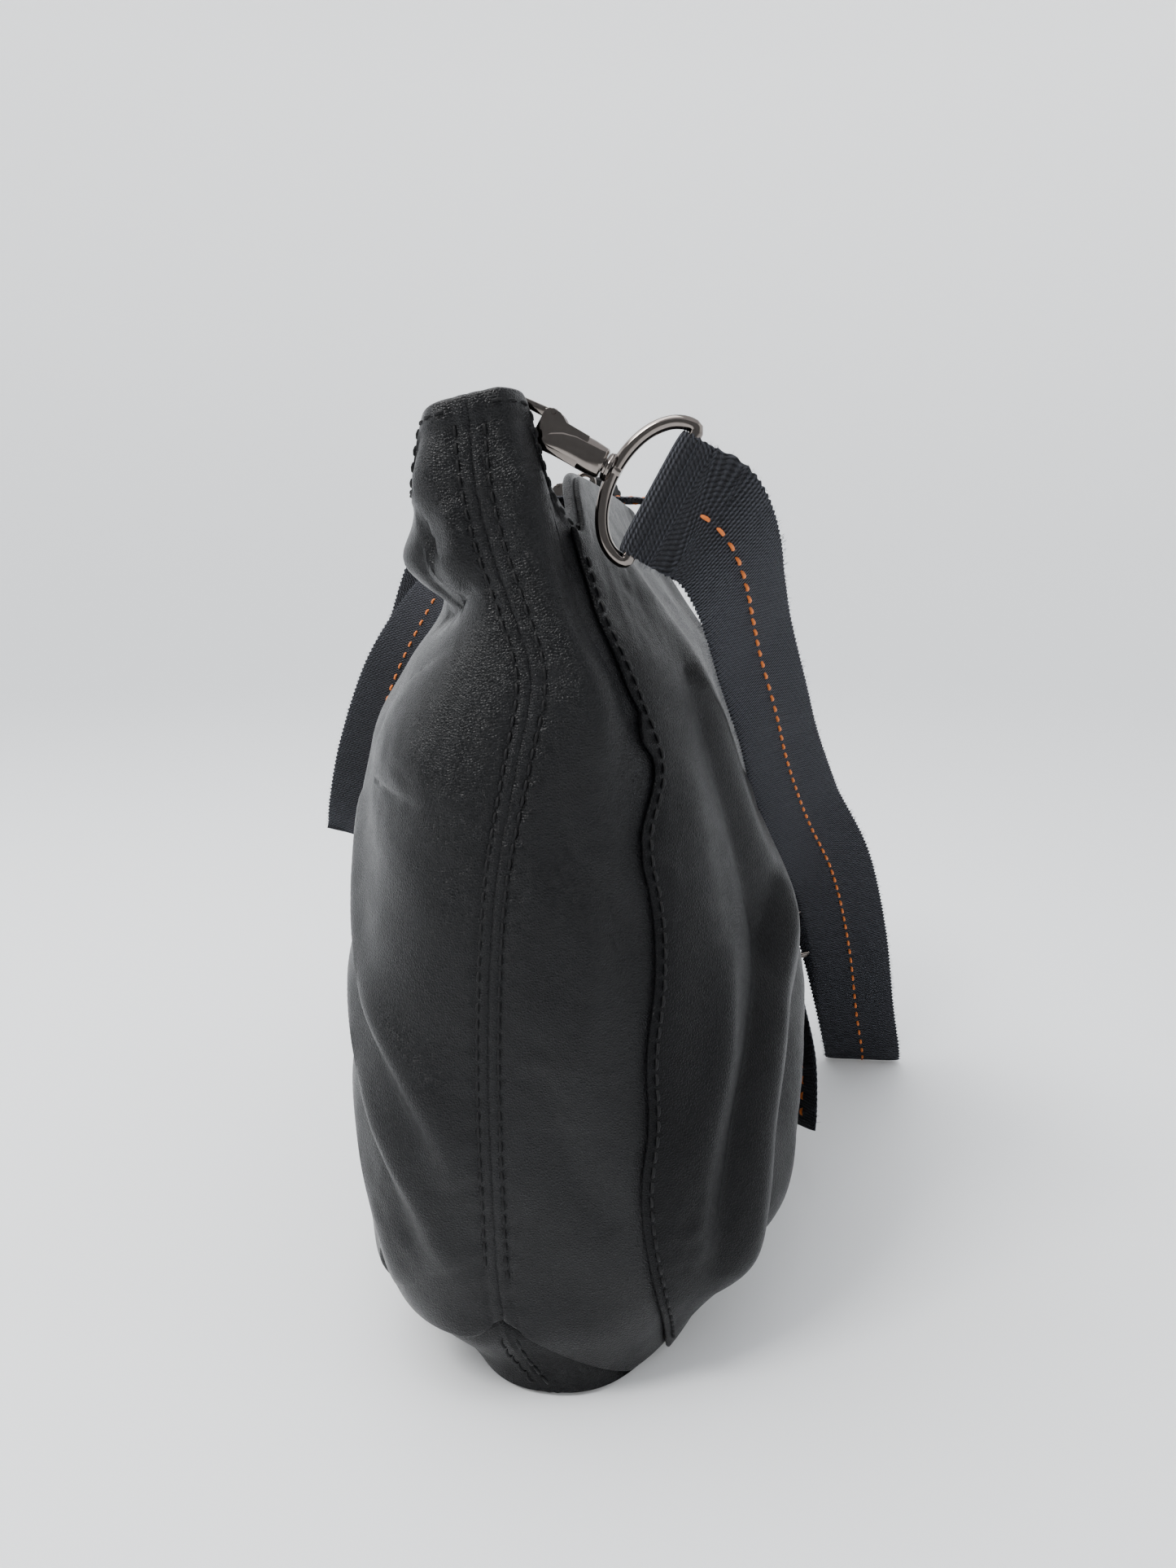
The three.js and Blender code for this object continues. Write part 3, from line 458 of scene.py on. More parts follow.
def stitches(rows, length, gap, thread):
    """Points and faces of separate thread stitches laid along rows of (points, outward directions)."""
    stations = np.array([0, 0.16, 0.5, 0.84, 1.0])
    lift = thread * np.array([-0.42, 0.22, 0.42, 0.22, -0.42])
    girth = thread * 0.5 * np.array([0.45, 0.95, 1.05, 0.95, 0.45])
    turn = np.arange(6) * math.pi / 3
    points, faces, offset = [], [], 0
    for line, normals in rows:
        walked = np.concatenate([[0], np.linalg.norm(np.diff(line, axis=0), axis=1).cumsum()])
        count = int(walked[-1] // (length + gap))
        if count < 1:
            continue
        begin = (walked[-1] - count * (length + gap) + gap) / 2
        at = begin + np.arange(count)[:, None] * (length + gap) + length * stations
        place = np.stack([np.interp(at, walked, line[:, k]) for k in range(3)], axis=-1)
        out = unit(np.stack([np.interp(at, walked, normals[:, k]) for k in range(3)], axis=-1))
        along = unit(np.gradient(place, axis=1))
        across = unit(np.cross(out, along))
        centre = place + out * lift[:, None]
        ring = (centre[:, :, None] + girth[:, None, None]
                * (across[:, :, None] * np.cos(turn)[:, None] + out[:, :, None] * np.sin(turn)[:, None]))
        points.append(ring.reshape(-1, 3))
        one = [list(q) for q in grid_quads(5, 6, wrap=True)]
        for k in range(count):
            base = offset + k * 30
            faces += [[base + c for c in quad] for quad in one]
            faces += [[base + c for c in range(5, -1, -1)], [base + 24 + c for c in range(6)]]
        offset += count * 30
    return np.concatenate(points), faces


def sweep(path, halves, power=2.0, sides=16, closed=False, across=(0, 0, 1)):
    """A solid along a path, with superelliptic sections of the given half sizes (in plane, across)."""
    path = np.asarray(path, float)
    halves = np.broadcast_to(np.asarray(halves, float), (len(path), 2))
    if closed:
        along = unit(np.roll(path, -1, axis=0) - np.roll(path, 1, axis=0))
    else:
        along = unit(np.gradient(path, axis=0))
    across = np.asarray(across, float)
    flat = unit(np.broadcast_to(across, path.shape) - along * (along @ across)[:, None])
    side = np.cross(flat, along)
    turn = np.arange(sides) * 2 * math.pi / sides
    c = np.sign(np.cos(turn)) * np.abs(np.cos(turn)) ** (2 / power)
    s = np.sign(np.sin(turn)) * np.abs(np.sin(turn)) ** (2 / power)
    points = (path[:, None] + side[:, None] * (halves[:, :1] * c)[..., None]
              + flat[:, None] * (halves[:, 1:] * s)[..., None])
    count = len(path)
    if closed:
        i, j = [a.ravel() for a in np.meshgrid(np.arange(count), np.arange(sides), indexing="ij")]
        n, k = (i + 1) % count, (j + 1) % sides
        quads = np.stack([i * sides + j, i * sides + k, n * sides + k, n * sides + j], axis=1)
        return points.reshape(-1, 3), [list(q)[::-1] for q in quads]
    faces = [list(q)[::-1] for q in grid_quads(count, sides, wrap=True)]
    faces += [list(range(sides)), list(range(count * sides - 1, (count - 1) * sides - 1, -1))]
    return points.reshape(-1, 3), faces


def rounded_sweep(path, halves, power=2.0, sides=16, across=(0, 0, 1), tip=0.5):
    """A sweep whose two ends are drawn in to small rounded caps."""
    path, halves = np.asarray(path, float), np.array(np.broadcast_to(halves, (len(path), 2)), float)
    first, last = unit(path[0] - path[1]), unit(path[-1] - path[-2])
    shares = np.array([(1.0, 0.15), (0.8, 0.6), (0.45, 0.87)])
    head = [path[0] + first * tip * a for a, _ in shares]
    tail = [path[-1] + last * tip * a for a, _ in shares[::-1]]
    sizes = [halves[0] - tip * (1 - b) for _, b in shares] + list(halves)
    sizes += [halves[-1] - tip * (1 - b) for _, b in shares[::-1]]
    return sweep(head + list(path) + tail, np.maximum(sizes, 0.05), power, sides, across=across)


def lathe_x(profile, sides=24):
    """A turned solid about local X from (distance, radius) pairs."""
    turn = np.arange(sides) * 2 * math.pi / sides
    rings = [[(x, r * math.cos(t), r * math.sin(t)) for t in turn] for x, r in profile]
    points = np.array(rings).reshape(-1, 3)
    count = len(profile)
    faces = [list(q)[::-1] for q in grid_quads(count, sides, wrap=True)]
    faces += [list(range(sides)), list(range(count * sides - 1, (count - 1) * sides - 1, -1))]
    return points, faces


def prism(outline, low, high, bevel=0.3):
    """A flat plate with eased edges, from an outline in local XY."""
    outline = np.asarray(outline, float)
    step, total = np.roll(outline, -1, axis=0) - outline, np.roll(outline, -1, axis=0) + outline
    if (step[:, 0] * total[:, 1]).sum() > 0:
        outline = outline[::-1]
    count = len(outline)
    before = unit(outline - np.roll(outline, 1, axis=0))
    after = unit(np.roll(outline, -1, axis=0) - outline)
    inward = unit(np.stack([-(before + after)[:, 1], (before + after)[:, 0]], axis=1))
    rings = [(low, bevel), (low + 0.3 * bevel, 0.3 * bevel), (low + bevel, 0), (high - bevel, 0),
             (high - 0.3 * bevel, 0.3 * bevel), (high, bevel)]
    points = np.concatenate([np.column_stack([outline + inward * cut, np.full(count, level)])
                             for level, cut in rings])
    faces = [list(q) for q in grid_quads(len(rings), count, wrap=True)]
    faces += [list(range(count))[::-1], [len(points) - count + k for k in range(count)]]
    return points, faces


def gather(*parts):
    """Several (points, faces) as one."""
    points, faces, offset = [], [], 0
    for some, theirs in parts:
        points.append(np.asarray(some, float))
        faces += [[offset + int(c) for c in face] for face in theirs]
        offset += len(some)
    return np.concatenate(points), faces


def placed(part, axes, origin):
    """A part moved from a local frame, whose axes are the rows of axes."""
    points, faces = part
    return np.asarray(points) @ np.asarray(axes) + np.asarray(origin), faces


# ---- materials ----
def new_group(name, inputs, outputs):
    """A shader node group with named number inputs and outputs."""
    tree = bpy.data.node_groups.new(name, "ShaderNodeTree")
    for label, value in inputs:
        socket = tree.interface.new_socket(name=label, in_out="INPUT", socket_type="NodeSocketFloat")
        socket.default_value = value
    for label in outputs:
        tree.interface.new_socket(name=label, in_out="OUTPUT", socket_type="NodeSocketFloat")
    return tree, tree.nodes.new("NodeGroupInput"), tree.nodes.new("NodeGroupOutput")


def math_node(tree, operation, a, b=None, c=None):
    """A Math node over numbers or sockets."""
    node = tree.nodes.new("ShaderNodeMath")
    node.operation = operation
    for socket, value in zip(node.inputs, (a, b, c)):
        if value is None:
            continue
        if isinstance(value, (int, float)):
            socket.default_value = value
        else:
            tree.links.new(value, socket)
    return node.outputs[0]


def noise_node(tree, vector, scale, detail=3.0, roughness=0.55):
    node = tree.nodes.new("ShaderNodeTexNoise")
    node.inputs["Detail"].default_value = detail
    node.inputs["Roughness"].default_value = roughness
    tree.links.new(vector, node.inputs["Vector"])
    if isinstance(scale, (int, float)):
        node.inputs["Scale"].default_value = scale
    else:
        tree.links.new(scale, node.inputs["Scale"])
    return node.outputs["Fac"]


def grain_group():
    """Fine leather pebbling, pores and slow changes of the glaze."""
    tree, given, made = new_group("Leather Grain", [("Cells per metre", 1400.0), ("Crease", 0.5)],
                                  ["Height", "Tone", "Gloss"])
    place = tree.nodes.new("ShaderNodeTexCoord").outputs["Object"]
    cells = tree.nodes.new("ShaderNodeTexVoronoi")
    cells.feature = "DISTANCE_TO_EDGE"
    tree.links.new(place, cells.inputs["Vector"])
    tree.links.new(given.outputs[0], cells.inputs["Scale"])
    pebble = math_node(tree, "MINIMUM", math_node(tree, "MULTIPLY", cells.outputs["Distance"], 3.0), 1.0)
    pores = noise_node(tree, place, 2600.0, 2.0)
    folds = noise_node(tree, place, 210.0, 4.0, 0.6)
    fine = math_node(tree, "MULTIPLY_ADD", pores, 0.45, math_node(tree, "MULTIPLY", pebble, 0.55))
    creased = math_node(tree, "MULTIPLY_ADD", folds, given.outputs[1], fine)
    tree.links.new(creased, made.inputs["Height"])
    tree.links.new(noise_node(tree, place, 38.0, 5.0, 0.6), made.inputs["Tone"])
    tree.links.new(noise_node(tree, place, 95.0, 4.0, 0.65), made.inputs["Gloss"])
    return tree


def twill_group():
    """Diagonal ribs of a twill weave across its yarns, from coordinates in millimetres. Its colour output is
    painted shade and painted highlight: it follows the rib and fuzz heights, darker in the hollows and
    lighter on the crowns.
    """
    tree, given, made = new_group("Twill Weave", [("Rib pitch", 1.1), ("Yarn pitch", 0.55)],
                                  ["Height", "Tone"])
    uv = tree.nodes.new("ShaderNodeTexCoord").outputs["UV"]
    split = tree.nodes.new("ShaderNodeSeparateXYZ")
    tree.links.new(uv, split.inputs[0])
    wobble = math_node(tree, "MULTIPLY", noise_node(tree, uv, 0.35, 3.0), 0.9)
    diagonal = math_node(tree, "ADD", split.outputs["X"], split.outputs["Y"])
    turns = math_node(tree, "DIVIDE", math_node(tree, "ADD", diagonal, wobble), given.outputs[0])
    rib = math_node(tree, "SINE", math_node(tree, "MULTIPLY", turns, 2 * math.pi))
    yarns = math_node(tree, "DIVIDE", split.outputs["Y"], given.outputs[1])
    yarn = math_node(tree, "SINE", math_node(tree, "MULTIPLY", yarns, 2 * math.pi))
    fuzz = noise_node(tree, uv, 2.6, 4.0, 0.7)
    both = math_node(tree, "MULTIPLY_ADD", yarn, 0.42, math_node(tree, "MULTIPLY", rib, 0.42))
    tree.links.new(math_node(tree, "MULTIPLY_ADD", fuzz, 0.9, both), made.inputs["Height"])
    # Painted shade and highlight: the colour follows the rib and fuzz heights, darker in the hollows and
    # lighter on the crowns.
    tone_and_painted_shade = math_node(tree, "MULTIPLY_ADD", rib, 0.22, math_node(tree, "MULTIPLY", fuzz, 0.9))
    tree.links.new(tone_and_painted_shade, made.inputs["Tone"])
    return tree


def rub_and_strand_shade_group():
    """Faint marks of rubbing and handling on polished or glazed surfaces; where they darken thread, they are
    painted shade between its strands.
    """
    tree, given, made = new_group("Rubbed Finish", [("Marks per metre", 320.0), ("Amount", 0.5)],
                                  ["Marks", "Height"])
    place = tree.nodes.new("ShaderNodeTexCoord").outputs["Object"]
    marks = noise_node(tree, place, given.outputs[0], 6.0, 0.7)
    lifted = math_node(tree, "SUBTRACT", marks, 0.42)
    tree.links.new(math_node(tree, "MULTIPLY", math_node(tree, "MAXIMUM", lifted, 0.0),
                             math_node(tree, "MULTIPLY", given.outputs[1], 4.0)), made.inputs["Marks"])
    tree.links.new(marks, made.inputs["Height"])
    return tree


GROUPS = {}
GRAIN_DEPTH = 0.0003


def group_node(tree, make):
    if make.__name__ not in GROUPS:
        GROUPS[make.__name__] = make()
    node = tree.nodes.new("ShaderNodeGroup")
    node.node_tree = GROUPS[make.__name__]
    return node


def plain_material(name, color, roughness, metallic=0.0, **constants):
    """A material with even values, to build on."""
    made = bpy.data.materials.new(name)
    made.use_nodes = True
    made.diffuse_color = (*color, 1)
    shader = made.node_tree.nodes["Principled BSDF"]
    shader.inputs["Base Color"].default_value = (*color, 1)
    shader.inputs["Roughness"].default_value = roughness
    shader.inputs["Metallic"].default_value = metallic
    for label, value in constants.items():
        shader.inputs[label.replace("_", " ")].default_value = value
    return made, made.node_tree, shader


def blend_colors(tree, mask, dark, light):
    """A colour between two by a mask."""
    mix = tree.nodes.new("ShaderNodeMix")
    mix.data_type = "RGBA"
    mix.inputs[6].default_value = (*dark, 1)
    mix.inputs[7].default_value = (*light, 1)
    tree.links.new(mask, mix.inputs[0])
    return mix.outputs[2]


def spread_value(tree, value, low, high):
    """A noise value spread over a range."""
    node = tree.nodes.new("ShaderNodeMapRange")
    node.inputs["From Min"].default_value = 0.3
    node.inputs["From Max"].default_value = 0.7
    node.inputs["To Min"].default_value = low
    node.inputs["To Max"].default_value = high
    tree.links.new(value, node.inputs["Value"])
    return node.outputs[0]


def bump(tree, shader, height, distance, strength=1.0):
    node = tree.nodes.new("ShaderNodeBump")
    node.inputs["Distance"].default_value = distance
    node.inputs["Strength"].default_value = strength
    tree.links.new(height, node.inputs["Height"])
    tree.links.new(node.outputs[0], shader.inputs["Normal"])


def leather_material(name, color, roughness, cells, crease, coat, specular):
    """Pebbled black leather, with a glaze that changes a little from place to place."""
    made, tree, shader = plain_material(name, color, roughness, Coat_Weight=coat, Coat_Roughness=0.26)
    shader.inputs["Specular IOR Level"].default_value = specular
    grain = group_node(tree, grain_group)
    grain.inputs[0].default_value = cells
    grain.inputs[1].default_value = crease
    dark = tuple(0.75 * c for c in color)
    light = tuple(1.35 * c for c in color)
    tone_and_painted_shade = spread_value(tree, grain.outputs["Tone"], 0.0, 1.0)
    tree.links.new(blend_colors(tree, tone_and_painted_shade, dark, light), shader.inputs["Base Color"])
    gloss = spread_value(tree, grain.outputs["Gloss"], roughness - 0.05, roughness + 0.07)
    tree.links.new(gloss, shader.inputs["Roughness"])
    bump(tree, shader, grain.outputs["Height"], GRAIN_DEPTH, 0.8)
    return made


def woven_material(name, color, rib, yarn, depth, sheen):
    """Twill whose ribs and yarns have the given pitches in millimetres."""
    made, tree, shader = plain_material(name, color, 0.95, Sheen_Weight=sheen, Sheen_Roughness=0.5)
    shader.inputs["Sheen Tint"].default_value = (0.34, 0.36, 0.42, 1)
    shader.inputs["Specular IOR Level"].default_value = 0.2
    weave = group_node(tree, twill_group)
    weave.inputs[0].default_value = rib
    weave.inputs[1].default_value = yarn
    dark = tuple(0.45 * c for c in color)
    light = tuple(2.6 * c for c in color)
    # Painted shade and highlight: the weave's colour is darker in its hollows and lighter on its crowns.
    tone_and_painted_shade = spread_value(tree, weave.outputs["Tone"], 0.0, 1.0)
    tree.links.new(blend_colors(tree, tone_and_painted_shade, dark, light), shader.inputs["Base Color"])
    bump(tree, shader, weave.outputs["Height"], depth, 1.0)
    return made


def metal_material(name, color, roughness):
    """Polished plating, a little dulled where it has been rubbed."""
    made, tree, shader = plain_material(name, color, roughness, 1.0)
    rub_and_shade = group_node(tree, rub_and_strand_shade_group)
    rough = spread_value(tree, rub_and_shade.outputs["Marks"], roughness, roughness + 0.12)
    tree.links.new(rough, shader.inputs["Roughness"])
    dulled_and_shaded = tuple(0.8 * c for c in color)
    tree.links.new(blend_colors(tree, rub_and_shade.outputs["Marks"], color, dulled_and_shaded), shader.inputs["Base Color"])
    bump(tree, shader, rub_and_shade.outputs["Height"], 0.00002, 0.3)
    return made


def thread_material(name, color):
    """Waxed thread or fibre, with painted shade: noise marks darken its colour to stand for the dark between
    its strands.
    """
    made, tree, shader = plain_material(name, color, 0.55)
    shader.inputs["Specular IOR Level"].default_value = 0.25
    rub_and_shade = group_node(tree, rub_and_strand_shade_group)
    rub_and_shade.inputs[0].default_value = 5200.0
    # Painted shade: the marks darken the colour to stand for the dark between the strands.
    dulled_and_shaded = tuple(0.55 * c for c in color)
    tree.links.new(blend_colors(tree, rub_and_shade.outputs["Marks"], color, dulled_and_shaded), shader.inputs["Base Color"])
    bump(tree, shader, rub_and_shade.outputs["Height"], 0.0002, 0.6)
    return made


def floor_material(name, color):
    """A pale sweep with painted light and painted shade: it glows a little up its wall, and behind the near
    end its colour is painted dark and its glow is off.
    """
    made, tree, shader = plain_material(name, color, 0.55)
    rub_and_shade = group_node(tree, rub_and_strand_shade_group)
    rub_and_shade.inputs[0].default_value = 3.0
    place = tree.nodes.new("ShaderNodeTexCoord").outputs["Object"]
    split = tree.nodes.new("ShaderNodeSeparateXYZ")
    tree.links.new(place, split.inputs[0])
    # Painted shade: beyond 0.9 m in X, behind the near end, the colour blends to a dark copy and the glow is
    # turned off.
    painted_shade_share = math_node(tree, "SUBTRACT", split.outputs["X"], 0.9)
    painted_shade_share = math_node(tree, "MINIMUM", math_node(tree, "MAXIMUM", painted_shade_share, 0.0), 1.0)
    painted_shade_color = tuple(0.3 * c for c in color)
    tree.links.new(blend_colors(tree, painted_shade_share, color, painted_shade_color), shader.inputs["Base Color"])
    # Painted light: the emission grows with height up the wall, so the sweep glows though it is no lamp.
    climb = math_node(tree, "MINIMUM", math_node(tree, "MAXIMUM", split.outputs["Z"], 0.0), 1.6)
    painted_glow = math_node(tree, "MULTIPLY_ADD", climb, 0.34, 0.13)
    painted_glow_strength = math_node(tree, "MULTIPLY", painted_glow, math_node(tree, "SUBTRACT", 1.0, painted_shade_share))
    shader.inputs["Emission Color"].default_value = (1.0, 0.995, 0.975, 1)
    tree.links.new(painted_glow_strength, shader.inputs["Emission Strength"])
    gloss = math_node(tree, "MULTIPLY_ADD", rub_and_shade.outputs["Marks"], 0.05, 0.55)
    tree.links.new(gloss, shader.inputs["Roughness"])
    return made


def material(finish):
    """The finish's material, made when it is first wanted."""
    name = finish.replace("_", " ").title()
    if name in bpy.data.materials:
        return bpy.data.materials[name]
    colors = bpy.context.scene.bag_colors
    shade = {key: tuple(getattr(colors, key)) for key in COLORS}
    recipes = {
        "soft_leather": lambda: leather_material(
            name, shade["leather"], roughness=0.33, cells=1250.0, crease=0.7, coat=0.06, specular=0.2),
        "glazed_leather": lambda: leather_material(
            name, shade["pocket"], roughness=0.35, cells=1150.0, crease=0.8, coat=0.02, specular=0.1),
        "lining_cloth": lambda: woven_material(
            name, shade["lining"], rib=0.8, yarn=0.4, depth=0.0001, sheen=0.1),
        "zip_cloth": lambda: woven_material(
            name, shade["zip_tape"], rib=1.4, yarn=0.7, depth=0.00015, sheen=0.15),
        "webbing": lambda: woven_material(
            name, shade["webbing"], rib=1.7, yarn=1.15, depth=0.0009, sheen=0.34),
        "black_nickel": lambda: metal_material(name, shade["metal"], roughness=0.09),
        "black_thread": lambda: thread_material(name, shade["leather_thread"]),
        "orange_thread": lambda: thread_material(name, shade["strap_thread"]),
        "cotton_lint": lambda: thread_material(name, shade["lint"]),
        "stiff_board": lambda: thread_material(name, shade["board"]),
        "studio_floor": lambda: floor_material(name, shade["floor"]),
    }
    return recipes[finish]()


COLORS = {
    "leather": (0.004, 0.0041, 0.0047),
    "pocket": (0.003, 0.0031, 0.0036),
    "lining": (0.03, 0.03, 0.034),
    "zip_tape": (0.012, 0.012, 0.014),
    "webbing": (0.0092, 0.0092, 0.0106),
    "metal": (0.2, 0.176, 0.16),
    "leather_thread": (0.0032, 0.0032, 0.0038),
    "strap_thread": (0.72, 0.19, 0.04),
    "lint": (0.05, 0.055, 0.07),
    "board": (0.05, 0.045, 0.04),
    "floor": (0.82, 0.835, 0.85),
}


# ---- leather pieces ----
def near_zero(z):
    """The near end seam itself."""
    return np.zeros(np.shape(z))


def far_behind(z):
    """The far end seam, reached behind the bag."""
    return 2 * quarter_length(z, 1)


def far_before(z):
    """The far end seam, reached before the bag."""
    return -2 * quarter_length(z, -1)


def pocket_edge(z):
    """Distance of the pocket panel's lapped edge from the seam."""
    smooth = [np.interp(z + d, POCKET_EDGE[:, 0], POCKET_EDGE[:, 1]) for d in (-8, -4, 0, 4, 8)]
    return sum(smooth) / len(smooth)


def panel_foot(s, z):
    """Lower edge of the wall panels, over the base leather."""
    return BASE_TOP + np.maximum(base_rise(s, z), 0.4)


def build_panels(sizes):
    mesh = {"fine": sizes.detail * 1000, "coarse": 3.4, "rows_step": 1.7}
    wall = {"radius": sizes.leather * 500, "inset": sizes.leather * 500, "detail": 96, "with_seam": True,
            "hem": 0.75, "side_round": 0.35}
    for name, first, last, node in (("back_leather", near_zero, far_behind, "back_panel"),
                                    ("front_leather", far_before, near_zero, "front_panel")):
        middle, half = wall_panel(first, last, panel_foot, rim_height, **wall, **mesh)
        piece = mesh_piece(name, *thick_sheet(middle, half), "soft_leather", replaces=[node])

    def pocket_top(s):
        near, _ = from_nearest_seam(s, np.full(np.shape(s), 270.0))
        return rim_height(s) - 1.2 - 5 * np.exp(-(((np.abs(near) - 28) / 9) ** 2))

    def pocket_foot(s, z):
        return np.full(np.shape(s), BASE_TOP - 0.6)

    middle, half = wall_panel(pocket_edge, lambda z: far_behind(z) - pocket_edge(z), pocket_foot, pocket_top,
                              radius=0.85, inset=-1.35, detail=90, with_seam=False, hem=0.35,
                              side_round=0.85, **mesh)
    piece = mesh_piece("back_pocket_leather", *thick_sheet(middle, half), "glazed_leather",
                       slot="glazed_leather", replaces=["back_pocket_panel"])


def build_leather_stitches(sizes):
    rows = []
    for end in (0, 1):
        for side in (-1, 1):
            z = np.arange(46 if side < 0 else 42, 299, 1.0)
            away = side * seam_row(z)
            s = away if end == 0 else far_position(away, z)
            rows.append(skin_with_normals(s, z, -0.1, True))
        z = np.arange(8, 262, 1.0)
        s = pocket_edge(z) + 2.6
        s = s if end == 0 else far_behind(z) - s
        rows.append(skin_with_normals(s, z, -2.3))
        for side in (-1, 1):
            z = np.arange(4.5, 26, 0.8)
            away = side * (2.4 + 0 * z)
            s = away if end == 0 else far_position(away, z)
            rows.append(skin_with_normals(s, z, -0.1, True))
    for side in (-1, 1):
        quarter = float(quarter_length(280.0, side))
        s = side * np.linspace(4, 2 * quarter - 4, 900)
        rows.append(skin_with_normals(s, rim_height(s) - 3.6, -0.5, True))
    points, faces = stitches(rows, sizes.stitch * 1000, sizes.stitch_gap * 1000, sizes.thread * 1000)
    mesh_piece("leather_stitches", points, faces, "black_thread", sharp=80)


def far_position(away, z):
    """Distance from the near seam of a place at a signed distance from the far seam."""
    side = np.where(away >= 0, 1, -1)
    quarter = np.where(away >= 0, quarter_length(z, 1), quarter_length(z, -1))
    return side * (2 * quarter - np.abs(away))


def build_base():
    """The sole, with a wall that climbs behind the panels' lower edges at both ends."""
    count, steps = 560, 26
    share = np.linspace(0, 1, count, endpoint=False)
    behind = share < 0.5
    quarter = np.where(behind, quarter_length(0.0, 1), quarter_length(0.0, -1))
    s = np.where(behind, share * 4, (share - 1) * 4) * quarter
    rings = []
    for k in range(steps + 1):
        t = k / steps
        here = np.zeros(count)
        for _ in range(3):
            scale = np.where(s >= 0, quarter_length(here, 1), quarter_length(here, -1)) / quarter
            around = s * scale
            top = BASE_TOP + base_rise(around, here) + 4.0
            here = 0.9 + (top - 0.9) * t
        climb = base_rise(around, here)
        tuck = 3.4 + 1.6 * smooth_step(here, climb - 3, climb + 5)
        wall = skin(around, here, tuck, True)
        floor_line = skin(around, np.zeros(count), 1.6)
        curl = smooth_step(np.full(count, t), 0, 0.22)[:, None]
        rings.append(wall * curl + (floor_line + [0, 0, 0.9]) * (1 - curl))
    rings = np.array(rings)
    out = unit(np.cross(np.roll(rings, -1, axis=1) - np.roll(rings, 1, axis=1), np.gradient(rings, axis=0)))
    outside, inside = rings + out * 0.7, rings - out * 0.7
    outside[:, :, 2] = np.maximum(outside[:, :, 2], 0)
    centre = np.array([0, -4.0, 0])
    inner_sole = [centre * (1 - a) + rings[0] * a for a in (0.96, 0.8, 0.5, 0.15)]
    loops = [np.column_stack([r[:, :2], np.full(count, 0.0)]) for r in inner_sole[::-1]]
    loops += list(outside)
    loops += [(outside[-1] + inside[-1]) / 2 + [0, 0, 0.6]]
    loops += list(inside[::-1][:-6])
    loops += [np.column_stack([r[:, :2] * [0.985, 0.985] + [0, -0.06], np.full(count, 2.9)])
              for r in [rings[0]] + inner_sole]
    faces = [list(q) for q in grid_quads(len(loops), count, wrap=True)]
    faces += [list(range(count))[::-1], [(len(loops) - 1) * count + k for k in range(count)]]
    mesh_piece("base_leather", np.array(loops).reshape(-1, 3), faces, "soft_leather",
               replaces=["base_panel"], sharp=60)


def ring_bag(inset, low, high, steps, thickness, floor_z):
    """A closed thin bag of cloth: up the outside, over its top edge and down the inside."""
    count = 300
    share = np.linspace(0, 1, count, endpoint=False)
    loops = []

    def ring(z, depth):
        heights = np.full(count, float(z))
        quarter = np.where(share < 0.5, quarter_length(heights, 1), quarter_length(heights, -1))
        s = np.where(share < 0.5, share * 4, (share - 1) * 4) * quarter
        return skin(s, heights, depth)

    levels = np.linspace(low, high, steps)
    loops += [ring(z, inset) for z in levels]
    loops += [ring(high + 0.3, inset + thickness / 2)]
    loops += [ring(z, inset + thickness) for z in levels[::-1][:-1]]
    lowest = ring(low + thickness, inset + thickness)
    loops += [lowest]
    inner = [np.column_stack([(lowest[:, :2] - [0, -4]) * a + [0, -4], np.full(count, floor_z + thickness)])
             for a in (0.75, 0.4, 0.1)]
    outer = [np.column_stack([(loops[0][:, :2] - [0, -4]) * a + [0, -4], np.full(count, floor_z)])
             for a in (0.1, 0.4, 0.75)]
    loops = outer + loops + inner
    faces = [list(q) for q in grid_quads(len(loops), count, wrap=True)]
    faces += [list(range(count))[::-1], [(len(loops) - 1) * count + k for k in range(count)]]
    u = np.tile(share * 800, (len(loops), 1))
    v = np.repeat(np.arange(len(loops)) * 9.0, count).reshape(len(loops), count)
    return np.array(loops).reshape(-1, 3), faces, np.stack([u, v], axis=-1).reshape(-1, 2)


def build_lining():
    points, faces, uv = ring_bag(5.4, 6.6, 267.5, 60, 0.8, 6.6)
    piece = mesh_piece("lining_cloth", points, faces, "lining_cloth", slot="lining",
                       replaces=["lining"], uv=uv)
    offsets = spread(104, 2.5, 2.5, 40, 0.4)
    rise = spread(106, 2.5, 2.5, 40, 0.4)
    z = np.tile((90 + rise)[:, None], (1, len(offsets)))
    s = quarter_length(z, 1) - 52 + offsets[None, :]
    half = 0.4 * np.minimum(edge_round(np.minimum(offsets, 104 - offsets), 0.4)[None, :],
                            edge_round(np.minimum(rise, 106 - rise), 0.4)[:, None])
    points, faces = thick_sheet(skin(s, z, 7.6), half)
    uv = np.column_stack([points[:, 0], points[:, 2]])
    piece = mesh_piece("slip_pocket_cloth", points, faces, "lining_cloth", slot="lining",
                       replaces=["inner_slip_pocket"], uv=uv)


